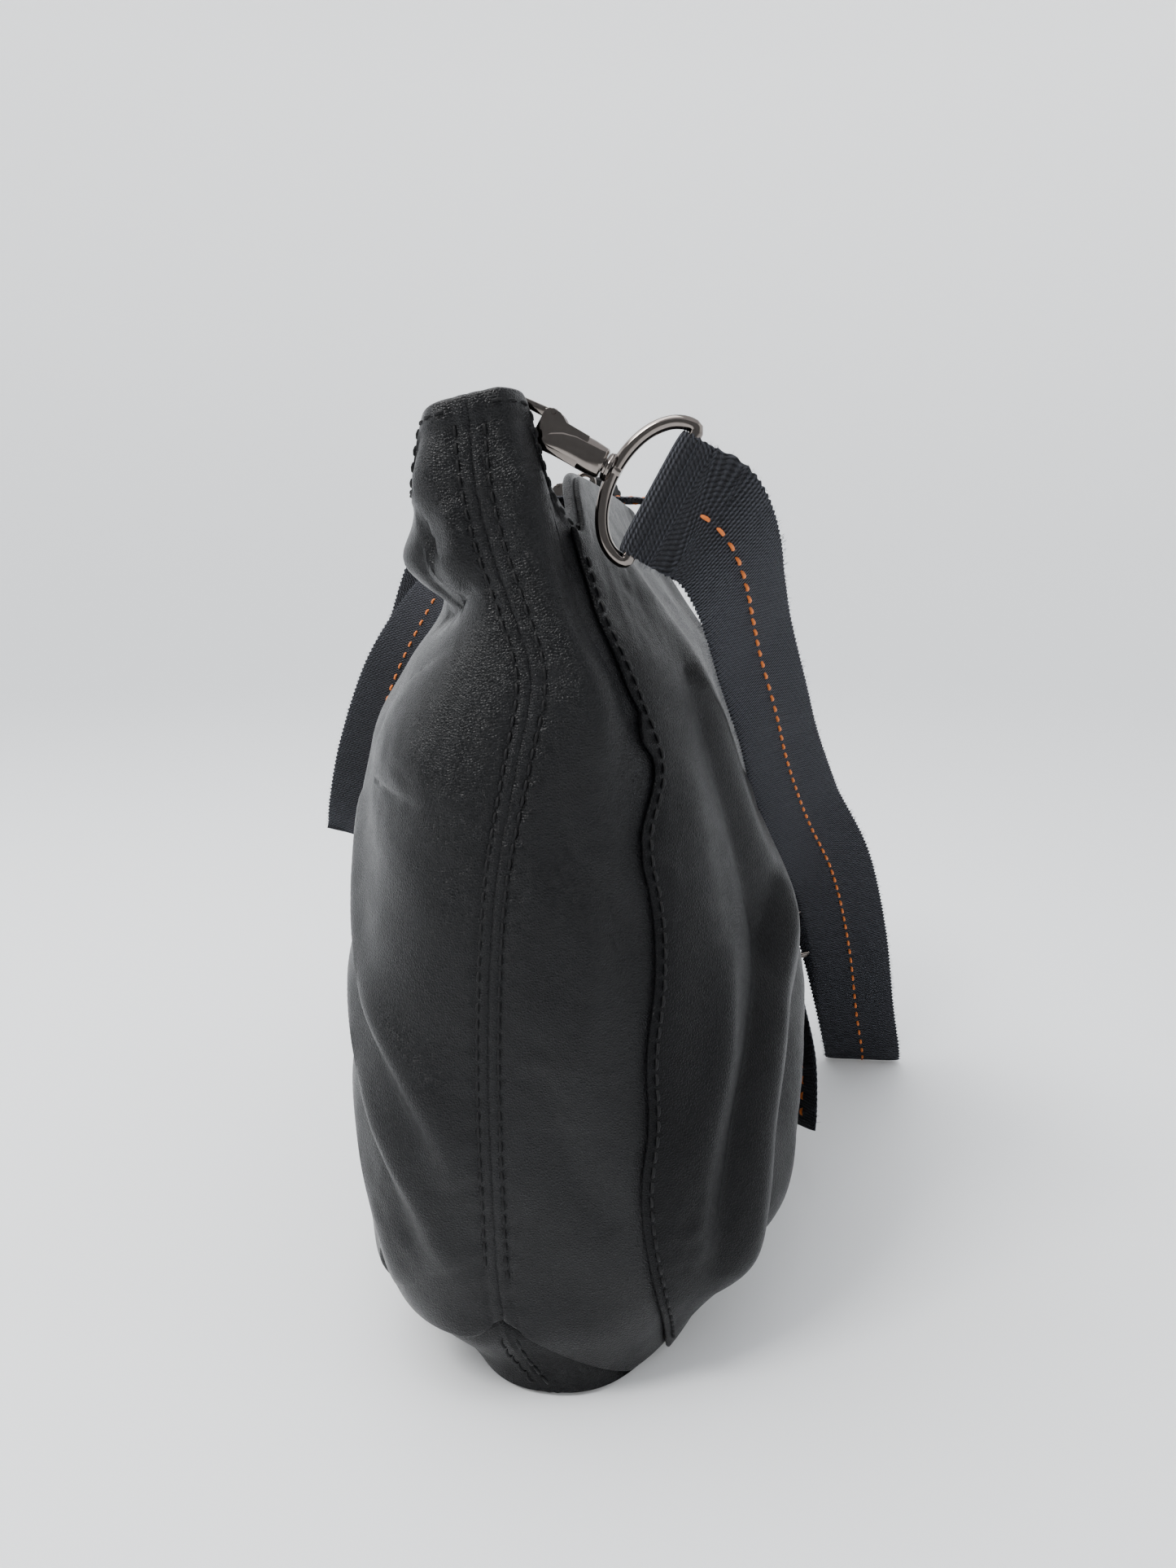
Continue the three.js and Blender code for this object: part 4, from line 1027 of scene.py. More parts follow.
def build_seam_tapes():
    for word in ("near", "far"):
        z = np.linspace(30, 262, 90)[:, None] * np.ones((1, 9))
        away = np.linspace(-4.5, 4.5, 9)[None, :] * np.ones_like(z)
        s = away if word == "near" else far_position(away, z)
        if word == "far":
            s = s[:, ::-1]
            z = z[:, ::-1]
        points_middle = skin(np.where(np.abs(s) < 0.01, 0.01, s), z, 3.9)
        half = np.full(s.shape, 0.4)
        half[[0, -1]] = 0
        half[:, [0, -1]] = 0
        points, faces = thick_sheet(points_middle, half)
        uv = np.column_stack([points[:, 1], points[:, 2]])
        piece = mesh_piece(f"{word}_seam_tape_cloth", points, faces, "zip_cloth", slot="zip_cloth",
                           replaces=[f"{word}_seam_tape"], uv=uv)


# ---- zip ----
def facing_grid(side):
    """Middle points of the leather strip between the rim and the zip tape, sagging a little."""
    x = np.concatenate([[-147], np.linspace(-146.5, 146.5, 150), [147]])
    heights = np.full(900, ZIP_Z)
    s = side * np.linspace(0.5, 2 * float(quarter_length(ZIP_Z, side)) - 0.5, 900)
    edge = skin(s, heights, 4.4)
    order = np.argsort(edge[:, 0])
    outer = np.interp(x, edge[order, 0], edge[order, 1])
    inner = np.full(x.shape, ZIP_Y + side * 14.6)
    across = np.concatenate([[0, 0.01], np.linspace(0.04, 0.96, 16), [0.99, 1]])
    y = inner[:, None] + (outer - inner)[:, None] * across
    sag = np.sin(math.pi * across)[None, :] * (1.0 + 0.7 * ripple(x[:, None], y, 0 * y, 34, 21))
    hem = 0.5 * np.exp(-((across / 0.14) ** 2))[None, :]
    z = ZIP_Z + 1.35 - sag - hem * 0.2 + 0 * y
    return np.stack([x[:, None] + 0 * y, y, z], axis=-1)


TOOTH_OUTLINE = [(-0.62, 6.0), (-0.62, 4.5), (-0.9, 3.7), (-0.55, 3.05),
                 (0.55, 3.05), (0.9, 3.7), (0.62, 4.5), (0.62, 6.0)]


def build_zip(sizes):
    for side, word in ((-1, "front"), (1, "back")):
        middle = facing_grid(side)
        if side > 0:
            middle = middle[::-1]
        half = np.full(middle.shape[:2], 0.65)
        half[[0, -1]] = 0
        half[:, [0, -1]] = 0
        half[:, [1, -2]] = 0.45
        points, faces = thick_sheet(middle, half)
        piece = mesh_piece(f"zip_facing_leather_{word}", points, faces, "soft_leather",
                           replaces=[f"zip_facing_{word}"])
        x = np.concatenate([[-122, -121.7], np.arange(-121, 121.5, 1.0), [121.7, 122]])
        reach = np.array([5.6, 5.8, 6.6, 8, 10, 12, 14, 15.6, 16.2, 16.4])
        y = ZIP_Y + side * reach[None, :] + 0 * x[:, None]
        z = ZIP_Z + 0.12 * np.sin(x / 5.5)[:, None] * np.ones_like(y)
        grid = np.stack([x[:, None] + 0 * y, y, z], axis=-1)
        if side > 0:
            grid = grid[::-1]
        half = np.full(grid.shape[:2], 0.4)
        half[[0, -1]] = 0
        half[:, [0, -1]] = 0
        points, faces = thick_sheet(grid, half)
        uv = points[:, :2]
        piece = mesh_piece(f"zip_tape_cloth_{word}", points, faces, "zip_cloth", slot="zip_cloth",
                           replaces=[f"zip_tape_{word}"], uv=uv)
        teeth = []
        start = 0.0 if side > 0 else 1.5
        for x0 in np.arange(-112.5 + start, 113, 3.0):
            flat = [(x0 + a, ZIP_Y + side * b) for a, b in TOOTH_OUTLINE]
            teeth.append(prism(flat, ZIP_Z - 1.35, ZIP_Z + 1.35, 0.22))
        cord_line = [(a, ZIP_Y + side * 5.9, ZIP_Z) for a in np.linspace(-115, 115, 60)]
        teeth.append(rounded_sweep(cord_line, (0.75, 0.9), sides=10))
        points, faces = gather(*teeth)
        mesh_piece(f"zip_teeth_row_{word}", points, faces, "black_nickel", slot="dark_metal",
                   replaces=[f"zip_teeth_{word}"], sharp=35)
    rows = []
    for side in (-1, 1):
        x = np.linspace(-142, 142, 500)
        line = np.column_stack([x, np.full(500, ZIP_Y + side * 17.4), np.full(500, ZIP_Z + 1.75)])
        rows.append((line, np.tile([0.0, 0.0, 1.0], (500, 1))))
    points, faces = stitches(rows, sizes.stitch * 1000, sizes.stitch_gap * 1000, sizes.thread * 1000)
    mesh_piece("zip_stitches", points, faces, "black_thread", sharp=80)


# ---- snap hooks, rings and tabs ----
CLIP_AT = np.array([139.0, -17.0, 301.0])
DROP = math.radians(28.7)
CLIP_AXES = np.array([[0, math.cos(DROP), -math.sin(DROP)], [0, math.sin(DROP), math.cos(DROP)], [1, 0, 0]])
RING_AT = np.array([139.0, -17.0, 285.0])
RING_AXES = np.array([[0, 0, 1], [1, 0, 0], [0, 1, 0]], float)
TAB_AXES = np.array([[0, 1, 0], [0, 0, 1], [1, 0, 0]], float)
HALF_TURN = np.diag([-1.0, -1.0, 1.0])
LOOP_BAR = 51.0


def end_frame(word, axes, origin):
    """Axes and origin of a fitting at the near end, or turned half round for the far end."""
    if word == "near":
        return axes, origin
    return axes @ HALF_TURN, origin @ HALF_TURN + np.array([0, 2 * ZIP_Y, 0])


def arc(cx, cy, radius, start, stop, count):
    """Points of an arc in local XY, between angles in degrees."""
    turn = np.radians(np.linspace(start, stop, count))
    return np.column_stack([cx + radius * np.cos(turn), cy + radius * np.sin(turn), np.zeros(count)])


def hook_part():
    """Snap hook: claw, bar, the two cheeks about its gate and the shoulder on the post."""
    claw = arc(0, 0, 5.0, 80, 276, 22)
    tail = [(3.4, -5.0, 0), (6.4, -4.6, 0), (9.4, -3.6, 0), (12.4, -2.6, 0), (15.4, -1.5, 0),
            (18.2, -0.55, 0), (22, 0, 0), (27, 0, 0), (31, 0, 0)]
    halves = [(1.25, 2.0)] * 22 + [(1.5, 2.3), (1.7, 2.6), (2.1, 3.0), (2.7, 3.5), (3.6, 3.9),
                                   (4.4, 4.0), (4.85, 4.0), (4.9, 4.0), (4.6, 3.8)]
    path = np.concatenate([claw, tail])
    bar = rounded_sweep(path, halves, power=2.9, sides=28, tip=0.9)
    plate = [(9.9, -1.8), (13.0, -4.2), (25.0, -4.9), (26.0, 0), (25.0, 4.9), (17.4, 5.1), (15.8, 6.1),
             (14.4, 6.7), (12.6, 6.9), (10.9, 6.5), (9.9, 5.6)]
    ears = [prism(plate, low, high, 0.4) for low, high in ((-3.6, -2.45), (2.45, 3.6))]
    shoulder = lathe_x([(29.5, 3.6), (31.2, 3.95), (31.9, 3.7), (32.0, 0.2)], 28)
    return gather(bar, *ears, shoulder)


def gate_part():
    """The hook's sprung gate."""
    outline = [(0.9, 3.3), (2.0, 3.2), (11.0, 3.5), (13.6, 4.6), (14.1, 5.6), (13.8, 6.6), (12.6, 7.1),
               (10.6, 6.4), (2.0, 5.6), (1.0, 5.2), (0.6, 4.3)]
    lever = prism(outline, -2.05, 2.05, 0.45)
    return lever


def holder_part():
    """The D-shaped loop that holds the strap, with its swivel post."""
    turn = np.linspace(0, math.pi, 44)
    bow = np.column_stack([LOOP_BAR - 1.6 - 14 * np.sin(turn), 21.5 * np.cos(turn), 0 * turn])
    corner = [(LOOP_BAR - 0.5, -21.1, 0), (LOOP_BAR - 0.05, -20.2, 0)]
    bar = [(LOOP_BAR, y, 0) for y in np.linspace(-18.5, 18.5, 12)]
    other = [(LOOP_BAR - 0.05, 20.2, 0), (LOOP_BAR - 0.5, 21.1, 0)]
    loop = sweep(np.concatenate([bow, corner, bar, other]), (2.05, 2.05), sides=18, closed=True)
    post = lathe_x([(25.0, 2.0), (32.2, 2.0), (32.35, 3.7), (32.6, 4.15), (34.3, 4.2), (34.6, 3.9),
                    (34.75, 2.9), (35.3, 2.3), (36.4, 2.1), (37.4, 1.6)], 28)
    groove = sweep(arc(0, 0, 4.1, 0, 356, 40) @ np.array([[0, 1, 0], [0, 0, 1], [1, 0, 0]], float)
                   + [33.45, 0, 0], (0.28, 0.28), sides=8, closed=True, across=(1, 0, 0))
    return gather(loop, post, groove)


def ring_part():
    """The long ring that the hook bites."""
    corners = [(12, 3, 0), (4, 3, 90), (4, -3, 180), (12, -3, 270)]
    path = np.concatenate([arc(x, y, 4, start, start + 90, 8) for x, y, start in corners])
    return sweep(path, (1.5, 1.5), sides=16, closed=True)


def tab_part():
    """The leather tab folded over the ring."""
    up = [(-0.85, y, 0) for y in (-29.6, -24, -18, -12, -8)]
    over = arc(0, 0, 2.65, 215, -35, 22)
    down = [(0.85, y, 0) for y in (-8, -12, -18, -24, -29.6)]
    return rounded_sweep(np.concatenate([up, over, down]), (0.72, 3.0), power=4.5, sides=20, tip=0.5)


def build_fittings():
    for word in ("near", "far"):
        clip = end_frame(word, CLIP_AXES, CLIP_AT)
        ring = end_frame(word, RING_AXES, RING_AT)
        tab = end_frame(word, TAB_AXES, RING_AT)
        for name, part, axes, body, node in (
            ("hook_metal", hook_part(), clip, f"{word}_hook", f"{word}_snap_hook"),
            ("gate_metal", gate_part(), clip, f"{word}_gate", f"{word}_hook_gate"),
            ("holder_metal", holder_part(), clip, f"{word}_clip", f"{word}_strap_holder"),
            ("ring_metal", ring_part(), ring, f"{word}_ring", f"{word}_anchor_ring"),
        ):
            mesh_piece(f"{word}_{name}", *placed(part, *axes), "black_nickel", body=body, slot="dark_metal",
                       replaces=[node], sharp=38)
        mesh_piece(f"{word}_tab_leather", *placed(tab_part(), *tab), "soft_leather",
                   replaces=[f"{word}_anchor_tab"])


# ---- strap ----
# The middle of the strap's width and the direction of its width, from the near hook to the far hook.
STRAP_ROUTE = [
    [(138.6, 40, 270.6), (0.03, -0.5, -0.87)],
    [(135.2, 45, 266), (0.16, -0.54, -0.82)],
    [(128.5, 49, 259.4), (0.27, -0.6, -0.75)],
    [(118, 52, 251.2), (0.36, -0.62, -0.7)],
    [(102, 54.6, 240), (0.43, -0.59, -0.68)],
    [(85, 57.6, 228), (0.45, -0.57, -0.67)],
    [(60, 64.6, 205.4), (0.45, -0.58, -0.65)],
    [(38, 69.5, 187.4), (0.45, -0.62, -0.6)],
    [(18, 75, 171.3), (0.42, -0.66, -0.58)],
    [(-6, 82.5, 152.5), (0.4, -0.7, -0.55)],
    [(-40, 97, 122), (0.2, -0.9, -0.3)],
    [(-77, 110, 76), (0.1, -1, -0.1)],
    [(-100, 118, 32), (0.05, -1, 0)],
    [(-111, 123, 8), (0, -1, 0)],
    [(-117.5, 124, 1.9), (0, -1, 0)],
    [(-124, 123, 8), (0, -1, 0)],
    [(-125.5, 114.3, 43.2), (0, -0.961, -0.278)],
    [(-124.5, 106, 72), (0, -0.961, -0.278)],
    [(-123.5, 97.7, 100.8), (0, -0.961, -0.278)],
    [(-121, 83, 141), (0.1, -0.9, -0.3)],
    [(-116, 64, 190), (0.45, -0.75, -0.3)],
    [(-108, 48, 235), (0.85, -0.4, -0.2)],
    [(-102, 28, 272), (1, 0, 0)],
    [(-99, 9, 288.8), (1, 0, 0)],
    [(-98, -4, 290.2), (1, 0, 0)],
    [(-98, -40, 290.2), (1, 0, 0)],
    [(-99, -55, 288.8), (1, 0, 0)],
    [(-102, -77, 272), (0.9, 0.3, -0.2)],
    [(-106, -102, 238), (0.5, 0.75, -0.3)],
    [(-112, -124, 200), (0.15, 0.95, -0.3)],
    [(-119, -140, 158), (0, 0.95, -0.3)],
    [(-124, -148, 126), (0, 0.95, -0.3)],
    [(-130, -151, 113), (0, 0.95, -0.3)],
    [(-135.5, -149, 124), (0, 0.95, -0.3)],
    [(-138.5, -139, 158), (0, 0.953, -0.302)],
    [(-139, -127, 193), (0, 0.953, -0.302)],
    [(-139, -115, 226), (0, 0.953, -0.302)],
    [(-139, -109, 244), (0, 0.85, -0.52)],
    [(-139, -104.5, 255), (0, 0.62, -0.78)],
    [(-139, -100.2, 260.7), (0, 0.48, -0.877)],
    [(-139, -95.6, 263.3), (0, 0.48, -0.877)],
]
STRAP_SPLIT = 32
TAIL_ROUTE = [
    [(-88, 79, 160), (0.75, 0.05, 0.65)],
    [(-66, 75, 140), (0.76, 0, 0.65)],
    [(-43, 73.5, 116), (0.8, 0, 0.6)],
    [(-17, 77, 88), (0.85, 0, 0.5)],
    [(8, 84, 52), (0.9, 0.15, 0.4)],
    [(18, 84, 26), (0.95, 0.15, 0.2)],
]


def centripetal(points, count):
    """Places along a centripetal spline, evenly spaced."""
    p = np.array(points, float)
    padded = np.vstack([2 * p[0] - p[1], p, 2 * p[-1] - p[-2]])
    dense, place = [], []
    for i in range(len(p) - 1):
        a, b, c, d = padded[i : i + 4]
        da, db, dc = [max(np.linalg.norm(v) ** 0.5, 1e-4) for v in (b - a, c - b, d - c)]
        enter = ((b - a) / da - (c - a) / (da + db) + (c - b) / db) * db
        leave = ((c - b) / db - (d - b) / (db + dc) + (d - c) / dc) * db
        t = (np.arange(40) / 40)[:, None]
        dense.append((2 * t**3 - 3 * t**2 + 1) * b + (t**3 - 2 * t**2 + t) * enter
                     + (3 * t**2 - 2 * t**3) * c + (t**3 - t**2) * leave)
        place.append(i + t[:, 0])
    dense = np.vstack(dense + [p[-1:]])
    place = np.concatenate(place + [[len(p) - 1]])
    walked = np.concatenate([[0], np.linalg.norm(np.diff(dense, axis=0), axis=1).cumsum()])
    even = np.linspace(0, walked[-1], count)
    centre = np.stack([np.interp(even, walked, dense[:, k]) for k in range(3)], axis=1)
    return centre, np.interp(even, walked, place), walked[-1]


def route_frames(route, spacing):
    """Centres, directions along, across and through, and distance walked, of a band's route."""
    points = [r[0] for r in route]
    length = centripetal(points, 2)[2]
    centre, place, length = centripetal(points, int(length / spacing) + 1)
    widths = np.array([r[1] for r in route], float)
    across = np.stack([np.interp(place, np.arange(len(route)), widths[:, k]) for k in range(3)], axis=1)
    kernel = np.hanning(2 * int(7 / spacing) + 3)
    kernel /= kernel.sum()
    reach = len(kernel) // 2
    padded = np.concatenate([np.repeat(across[:1], reach, 0), across, np.repeat(across[-1:], reach, 0)])
    across = np.stack([np.convolve(padded[:, k], kernel, "valid") for k in range(3)], axis=1)
    along = unit(np.gradient(centre, axis=0))
    across = unit(across - along * (across * along).sum(axis=1, keepdims=True))
    return centre, along, across, np.cross(along, across), np.linspace(0, length, len(centre))


def ribbon(frames, width, thickness, wave=0.5, flat_ends=6.0):
    """A woven band with rounded, saw-toothed selvages and a soft hand, and its texture coordinates."""
    centre, _, across, through, walked = frames
    columns = 17
    v = np.sin(np.linspace(-1, 1, columns) * math.pi / 2)
    total = walked[-1]
    ease = smooth_step(np.minimum(walked, total - walked), 0, flat_ends)
    tooth = 1 + 0.02 * np.sin(2 * math.pi * walked / 2.2) * ease
    crown = wave * ease[:, None] * (np.sin(walked / 17.0)[:, None] * 0.5 + np.sin(walked / 41.0 + 1)[:, None]
                                    + 0.45 * v * np.sin(walked / 9.5)[:, None])
    body = thickness / 2 * (1 - np.abs(v) ** 7) ** 0.5
    lane = centre[:, None] + across[:, None] * (v * width / 2 * tooth[:, None])[..., None]
    lane = lane + through[:, None] * crown[..., None] * 0.5
    top = lane + through[:, None] * body[None, :, None]
    bottom = lane[:, 1:-1] - through[:, None] * body[None, 1:-1, None]
    loop = np.concatenate([top, bottom[:, ::-1]], axis=1)
    rows, around = loop.shape[:2]
    faces = [list(q) for q in grid_quads(rows, around, wrap=True)]
    faces += [list(range(around))[::-1], [(rows - 1) * around + k for k in range(around)]]
    lanes = np.concatenate([v, v[1:-1][::-1]]) * width / 2
    uv = np.stack(np.broadcast_arrays(lanes[None, :], walked[:, None]), axis=-1)
    return loop.reshape(-1, 3), faces, uv.reshape(-1, 2)


def fibres(frames, width, thickness, draw, spacing, reach):
    """Fine loose cotton hairs standing off a band's selvages and faces."""
    centre, along, across, through, walked = frames
    count = int(walked[-1] / spacing)
    at = draw.uniform(0, len(centre) - 1, count).astype(int)
    lane = np.where(draw.random(count) < 0.62, np.sign(draw.normal(size=count)), draw.uniform(-1, 1, count))
    face = np.where(draw.random(count) < 0.5, 1.0, -1.0)
    on_edge = np.abs(lane) > 0.999
    rise = np.where(on_edge, draw.uniform(-0.5, 0.5, count), face) * thickness / 2
    root = centre[at] + across[at] * (lane * width / 2)[:, None] + through[at] * rise[:, None]
    outward = np.where(on_edge[:, None], across[at] * lane[:, None], through[at] * face[:, None])
    lean = draw.normal(size=(count, 3)) * 0.55
    direction = unit(outward + lean)
    length = draw.uniform(0.5, 1.0, count) * reach
    curl = unit(np.cross(direction, draw.normal(size=(count, 3)))) * (length * 0.35)[:, None]
    side = unit(np.cross(direction, along[at] + 0.01))
    other = np.cross(direction, side)
    points, radius = [], 0.055
    for share, girth, bend in ((-0.1, 1.0, 0.0), (0.5, 0.8, 0.35)):
        middle = root + direction * (length * share)[:, None] + curl * bend
        for turn in (0, 2.1, 4.2):
            points.append(middle + (side * math.cos(turn) + other * math.sin(turn)) * radius * girth)
    points.append(root + direction * length[:, None] + curl)
    cloud = np.stack(points, axis=1)
    one = [(0, 1, 4, 3), (1, 2, 5, 4), (2, 0, 3, 5), (3, 4, 6), (4, 5, 6), (5, 3, 6), (2, 1, 0)]
    faces = [[k * 7 + c for c in face_] for k in range(count) for face_ in one]
    return cloud.reshape(-1, 3), faces


def running_stitch(frames, thickness, pitch, length, thread):
    """Long visible stitches along the middle of a band, on both of its faces."""
    centre, _, _, through, walked = frames
    rows = [(centre + through * (thickness / 2 + 0.05), through)]
    keep = slice(int(len(centre) * pitch / 2 / walked[-1]), None)
    rows.append((centre[keep] - through[keep] * (thickness / 2 + 0.05), -through[keep]))
    return stitches(rows, length, pitch - length, thread)


def clip_route():
    """The strap's first stretch, turned over the holder's bar, in the clip's local frame."""
    return [[(57.5, 0, 1.5), (0, -1, 0)], [(60.0, 0, 1.3), (0, -1, 0)]]


def to_row(route, word):
    """A route in the clip's local frame, moved to its end of the bag."""
    axes, origin = end_frame(word, CLIP_AXES, CLIP_AT)
    return [[tuple(np.array(p) @ axes + origin), tuple(np.array(w, float) @ axes)] for p, w in route]


def strap_routes():
    """The two stretches of the strap, each with the end that turns over its holder."""
    near = to_row(clip_route(), "near") + STRAP_ROUTE[: STRAP_SPLIT + 1]
    from_clip = [(61.0, 0, 1.15), (67.0, 0, 1.1), (73.0, 0, 0.6)]
    far_start = to_row([[place, (0, 1, 0)] for place in from_clip], "far")
    far = STRAP_ROUTE[STRAP_SPLIT:]
    turned = [[p, tuple(-np.array(w, float))] for p, w in far_start[::-1]]
    return near, far + turned


def rest_on_floor(piece):
    """Lifts points that dip under the floor back onto it."""
    places = np.empty(len(piece.data.vertices) * 3, np.float32)
    piece.data.vertices.foreach_get("co", places)
    places[2::3] = np.maximum(places[2::3], 0)
    piece.data.vertices.foreach_set("co", places)
    piece.data.update()


def strap_piece(name, route, sizes, blend_to, replaces, seed):
    """A stretch of webbing with its lint and orange stitches."""
    width, thickness = sizes.webbing_width * 1000, sizes.webbing_thickness * 1000
    frames = route_frames(route, 0.62)
    points, faces, uv = ribbon(frames, width, thickness)
    strap = mesh_piece(name, points, faces, "webbing", body=None, slot="webbing", replaces=replaces, uv=uv)
    draw = np.random.default_rng(seed)
    hairs = mesh_piece(f"{name}_lint", *fibres(frames, width, thickness, draw, 0.24, sizes.lint * 1000),
                       "cotton_lint", body=None, slot="webbing")
    line = mesh_piece(f"{name}_stitches",
                      *running_stitch(frames, thickness, sizes.dash_pitch * 1000, sizes.dash * 1000,
                                      sizes.dash_thread * 1000),
                      "orange_thread", body=None, slot="webbing", sharp=80)
    for piece in (strap, hairs, line):
        rest_on_floor(piece)
        if blend_to:
            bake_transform(piece)
        else:
            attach(piece, "root")


def build_strap(sizes):
    near, far = strap_routes()
    strap_piece("strap_near", near, sizes, "near_clip",
                ["strap_webbing"], 17)
    strap_piece("strap_far", far, sizes, "far_clip", [], 18)
    strap_piece("strap_tail_end", TAIL_ROUTE, sizes, None, ["strap_tail"], 19)
    width, thickness = sizes.webbing_width * 1000, sizes.webbing_thickness * 1000
    for word in ("near", "far"):
        outer = [(61.0, 0, 1.15), (57.5, 0, 1.5), (54.6, 0, 2.5)][0 if word == "far" else 1 :]
        turn = np.radians(np.arange(50, 311, 20))
        around = [(LOOP_BAR + 3.2 * math.cos(t), 0, 3.2 * math.sin(t)) for t in turn]
        inner = [(54.6, 0, -2.5), (57.5, 0, -1.7), (61.0, 0, -1.5), (65, 0, -2.1), (69, 0, -2.8)]
        sign = -1 if word == "near" else 1
        local = [[p, (0, sign, 0)] for p in outer + around + inner]
        frames = route_frames(to_row(local, word), 0.62)
        points, faces, uv = ribbon(frames, width, thickness, wave=0.0)
        body = f"{word}_clip"
        loop = mesh_piece(f"{word}_loop_webbing", points, faces, "webbing", body=body, slot="webbing",
                          replaces=[f"{word}_strap_loop"], uv=uv)
        draw = np.random.default_rng(31 if word == "near" else 32)
        hairs = mesh_piece(f"{word}_loop_lint",
                           *fibres(frames, width, thickness, draw, 0.3, sizes.lint * 1000),
                           "cotton_lint", body=body, slot="webbing")


def build_adjuster():
    """The sliding three-bar adjuster."""
    along = unit(np.array([1, -8.3, 28.8]))
    across = np.array([0, -0.961, -0.278])
    across = unit(across - along * (across @ along))
    axes = np.array([along, across, np.cross(along, across)])
    half = 21.0
    corners = [arc(10.2, half - 1.6, 1.6, 0, 90, 6), arc(-10.2, half - 1.6, 1.6, 90, 180, 6),
               arc(-10.2, 1.6 - half, 1.6, 180, 270, 6), arc(10.2, 1.6 - half, 1.6, 270, 360, 6)]
    outline = np.concatenate(corners) + [0, 0, 2.7]
    rim = sweep(outline, (1.35, 1.2), power=3.2, sides=16, closed=True)
    legs = [(0, side * half, z) for side in (-1, 1) for z in (2.7, 0.6, -1.8)]
    middle = legs[:3] + [(0, 1.4 - half, -2.7), (0, half - 1.4, -2.7)] + legs[:2:-1]
    bar = rounded_sweep(middle, (1.3, 1.15), power=3.2, sides=16, across=(1, 0, 0))
    mesh_piece("adjuster_metal", *placed(gather(rim, bar), axes, (-124.5, 106, 72)), "black_nickel",
               body="adjuster", slot="dark_metal", replaces=["strap_adjuster"], sharp=38)


def finish_frame_nodes():
    """Better finishes for the frame's own metal and board."""
    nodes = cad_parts
    for name in ("zip_slider", "zip_pull", "zip_top_stop_front", "zip_top_stop_back", "zip_bottom_stop",
                 "near_gate_pin", "far_gate_pin"):
        nodes[name].material_slots[0].material = material("black_nickel")
    nodes["base_board"].material_slots[0].material = material("stiff_board")


# ---- studio ----
def build_camera():
    """The camera, low before the near end."""
    data = bpy.data.cameras.new("Camera")
    camera = bpy.data.objects.new("Camera", data)
    bpy.context.scene.collection.objects.link(camera)
    data.sensor_width = 36
    data.lens = 27.1
    data.clip_start = 0.01
    camera.location = (0.4894, 0.0462, 0.254)
    turn, pitch = math.radians(6.5), math.radians(10)
    ahead = Vector((-math.cos(turn) * math.cos(pitch), -math.sin(turn) * math.cos(pitch), -math.sin(pitch)))
    camera.rotation_euler = ahead.to_track_quat("-Z", "Y").to_euler()
    bpy.context.scene.camera = camera


def area_light(name, location, target, size, power, color):
    data = bpy.data.lights.new(name, "AREA")
    data.shape = "RECTANGLE"
    data.size, data.size_y = size
    data.energy = power
    data.color = color
    light = bpy.data.objects.new(name, data)
    light.location = location
    light.rotation_euler = (Vector(target) - Vector(location)).to_track_quat("-Z", "Y").to_euler()
    bpy.context.scene.collection.objects.link(light)


def build_stage(stage):
    """A round pale sweep of floor and wall, four softboxes and an even sky."""
    profile = [(0, 0), (0.5, 0), (1.0, 0), (1.6, 0), (2.2, 0)]
    curve = [(2.2 + 0.9 * math.sin(a), 0.9 - 0.9 * math.cos(a)) for a in np.radians(np.arange(10, 91, 10))]
    profile += curve + [(3.1, 2.0), (3.1, 3.0)]
    sides = 96
    turn = np.arange(sides) * 2 * math.pi / sides
    rings = [[(r * math.cos(t), r * math.sin(t), h) for t in turn] for r, h in profile[1:]]
    points = [(0, 0, 0)] + [p for ring in rings for p in ring]
    faces = [(0, 1 + k, 1 + (k + 1) % sides) for k in range(sides)]
    faces += [[int(c) + 1 for c in q][::-1] for q in grid_quads(len(rings), sides, wrap=True)]
    mesh = bpy.data.meshes.new("studio_floor")
    mesh.from_pydata(points, [], faces)
    mesh.polygons.foreach_set("use_smooth", [True] * len(mesh.polygons))
    mesh.materials.append(material("studio_floor"))
    floor = bpy.data.objects.new("studio_floor", mesh)
    bpy.context.scene.collection.objects.link(floor)
    warm, neutral, cool = (1.0, 0.99, 0.97), (1.0, 1.0, 1.0), (0.94, 0.97, 1.0)
    area_light("Top softbox", (0.15, -0.5, 1.7), (0, 0, 0.1), (1.2, 1.2), stage.top_power, neutral)
    area_light("Front softbox", (0.9, -0.85, 1.6), (0, 0, 0.25), (0.5, 0.5), stage.front_power, warm)
    area_light("Left softbox", (0.3, -1.6, 1.1), (0, 0, 0.2), (0.7, 1.0), stage.side_power, cool)
    area_light("Right softbox", (0.3, 1.7, 1.0), (0, 0, 0.15), (0.7, 1.0), 0.15 * stage.side_power, cool)
    world = bpy.data.worlds.new("Studio")
    world.use_nodes = True
    world.node_tree.nodes["Background"].inputs["Color"].default_value = (*stage.sky, 1)
    world.node_tree.nodes["Background"].inputs["Strength"].default_value = stage.sky_strength
    bpy.context.scene.world = world


# ---- the add-on ----
def length_property(name, description, default):
    return FloatProperty(name=name, description=description, default=default, min=0, unit="LENGTH")


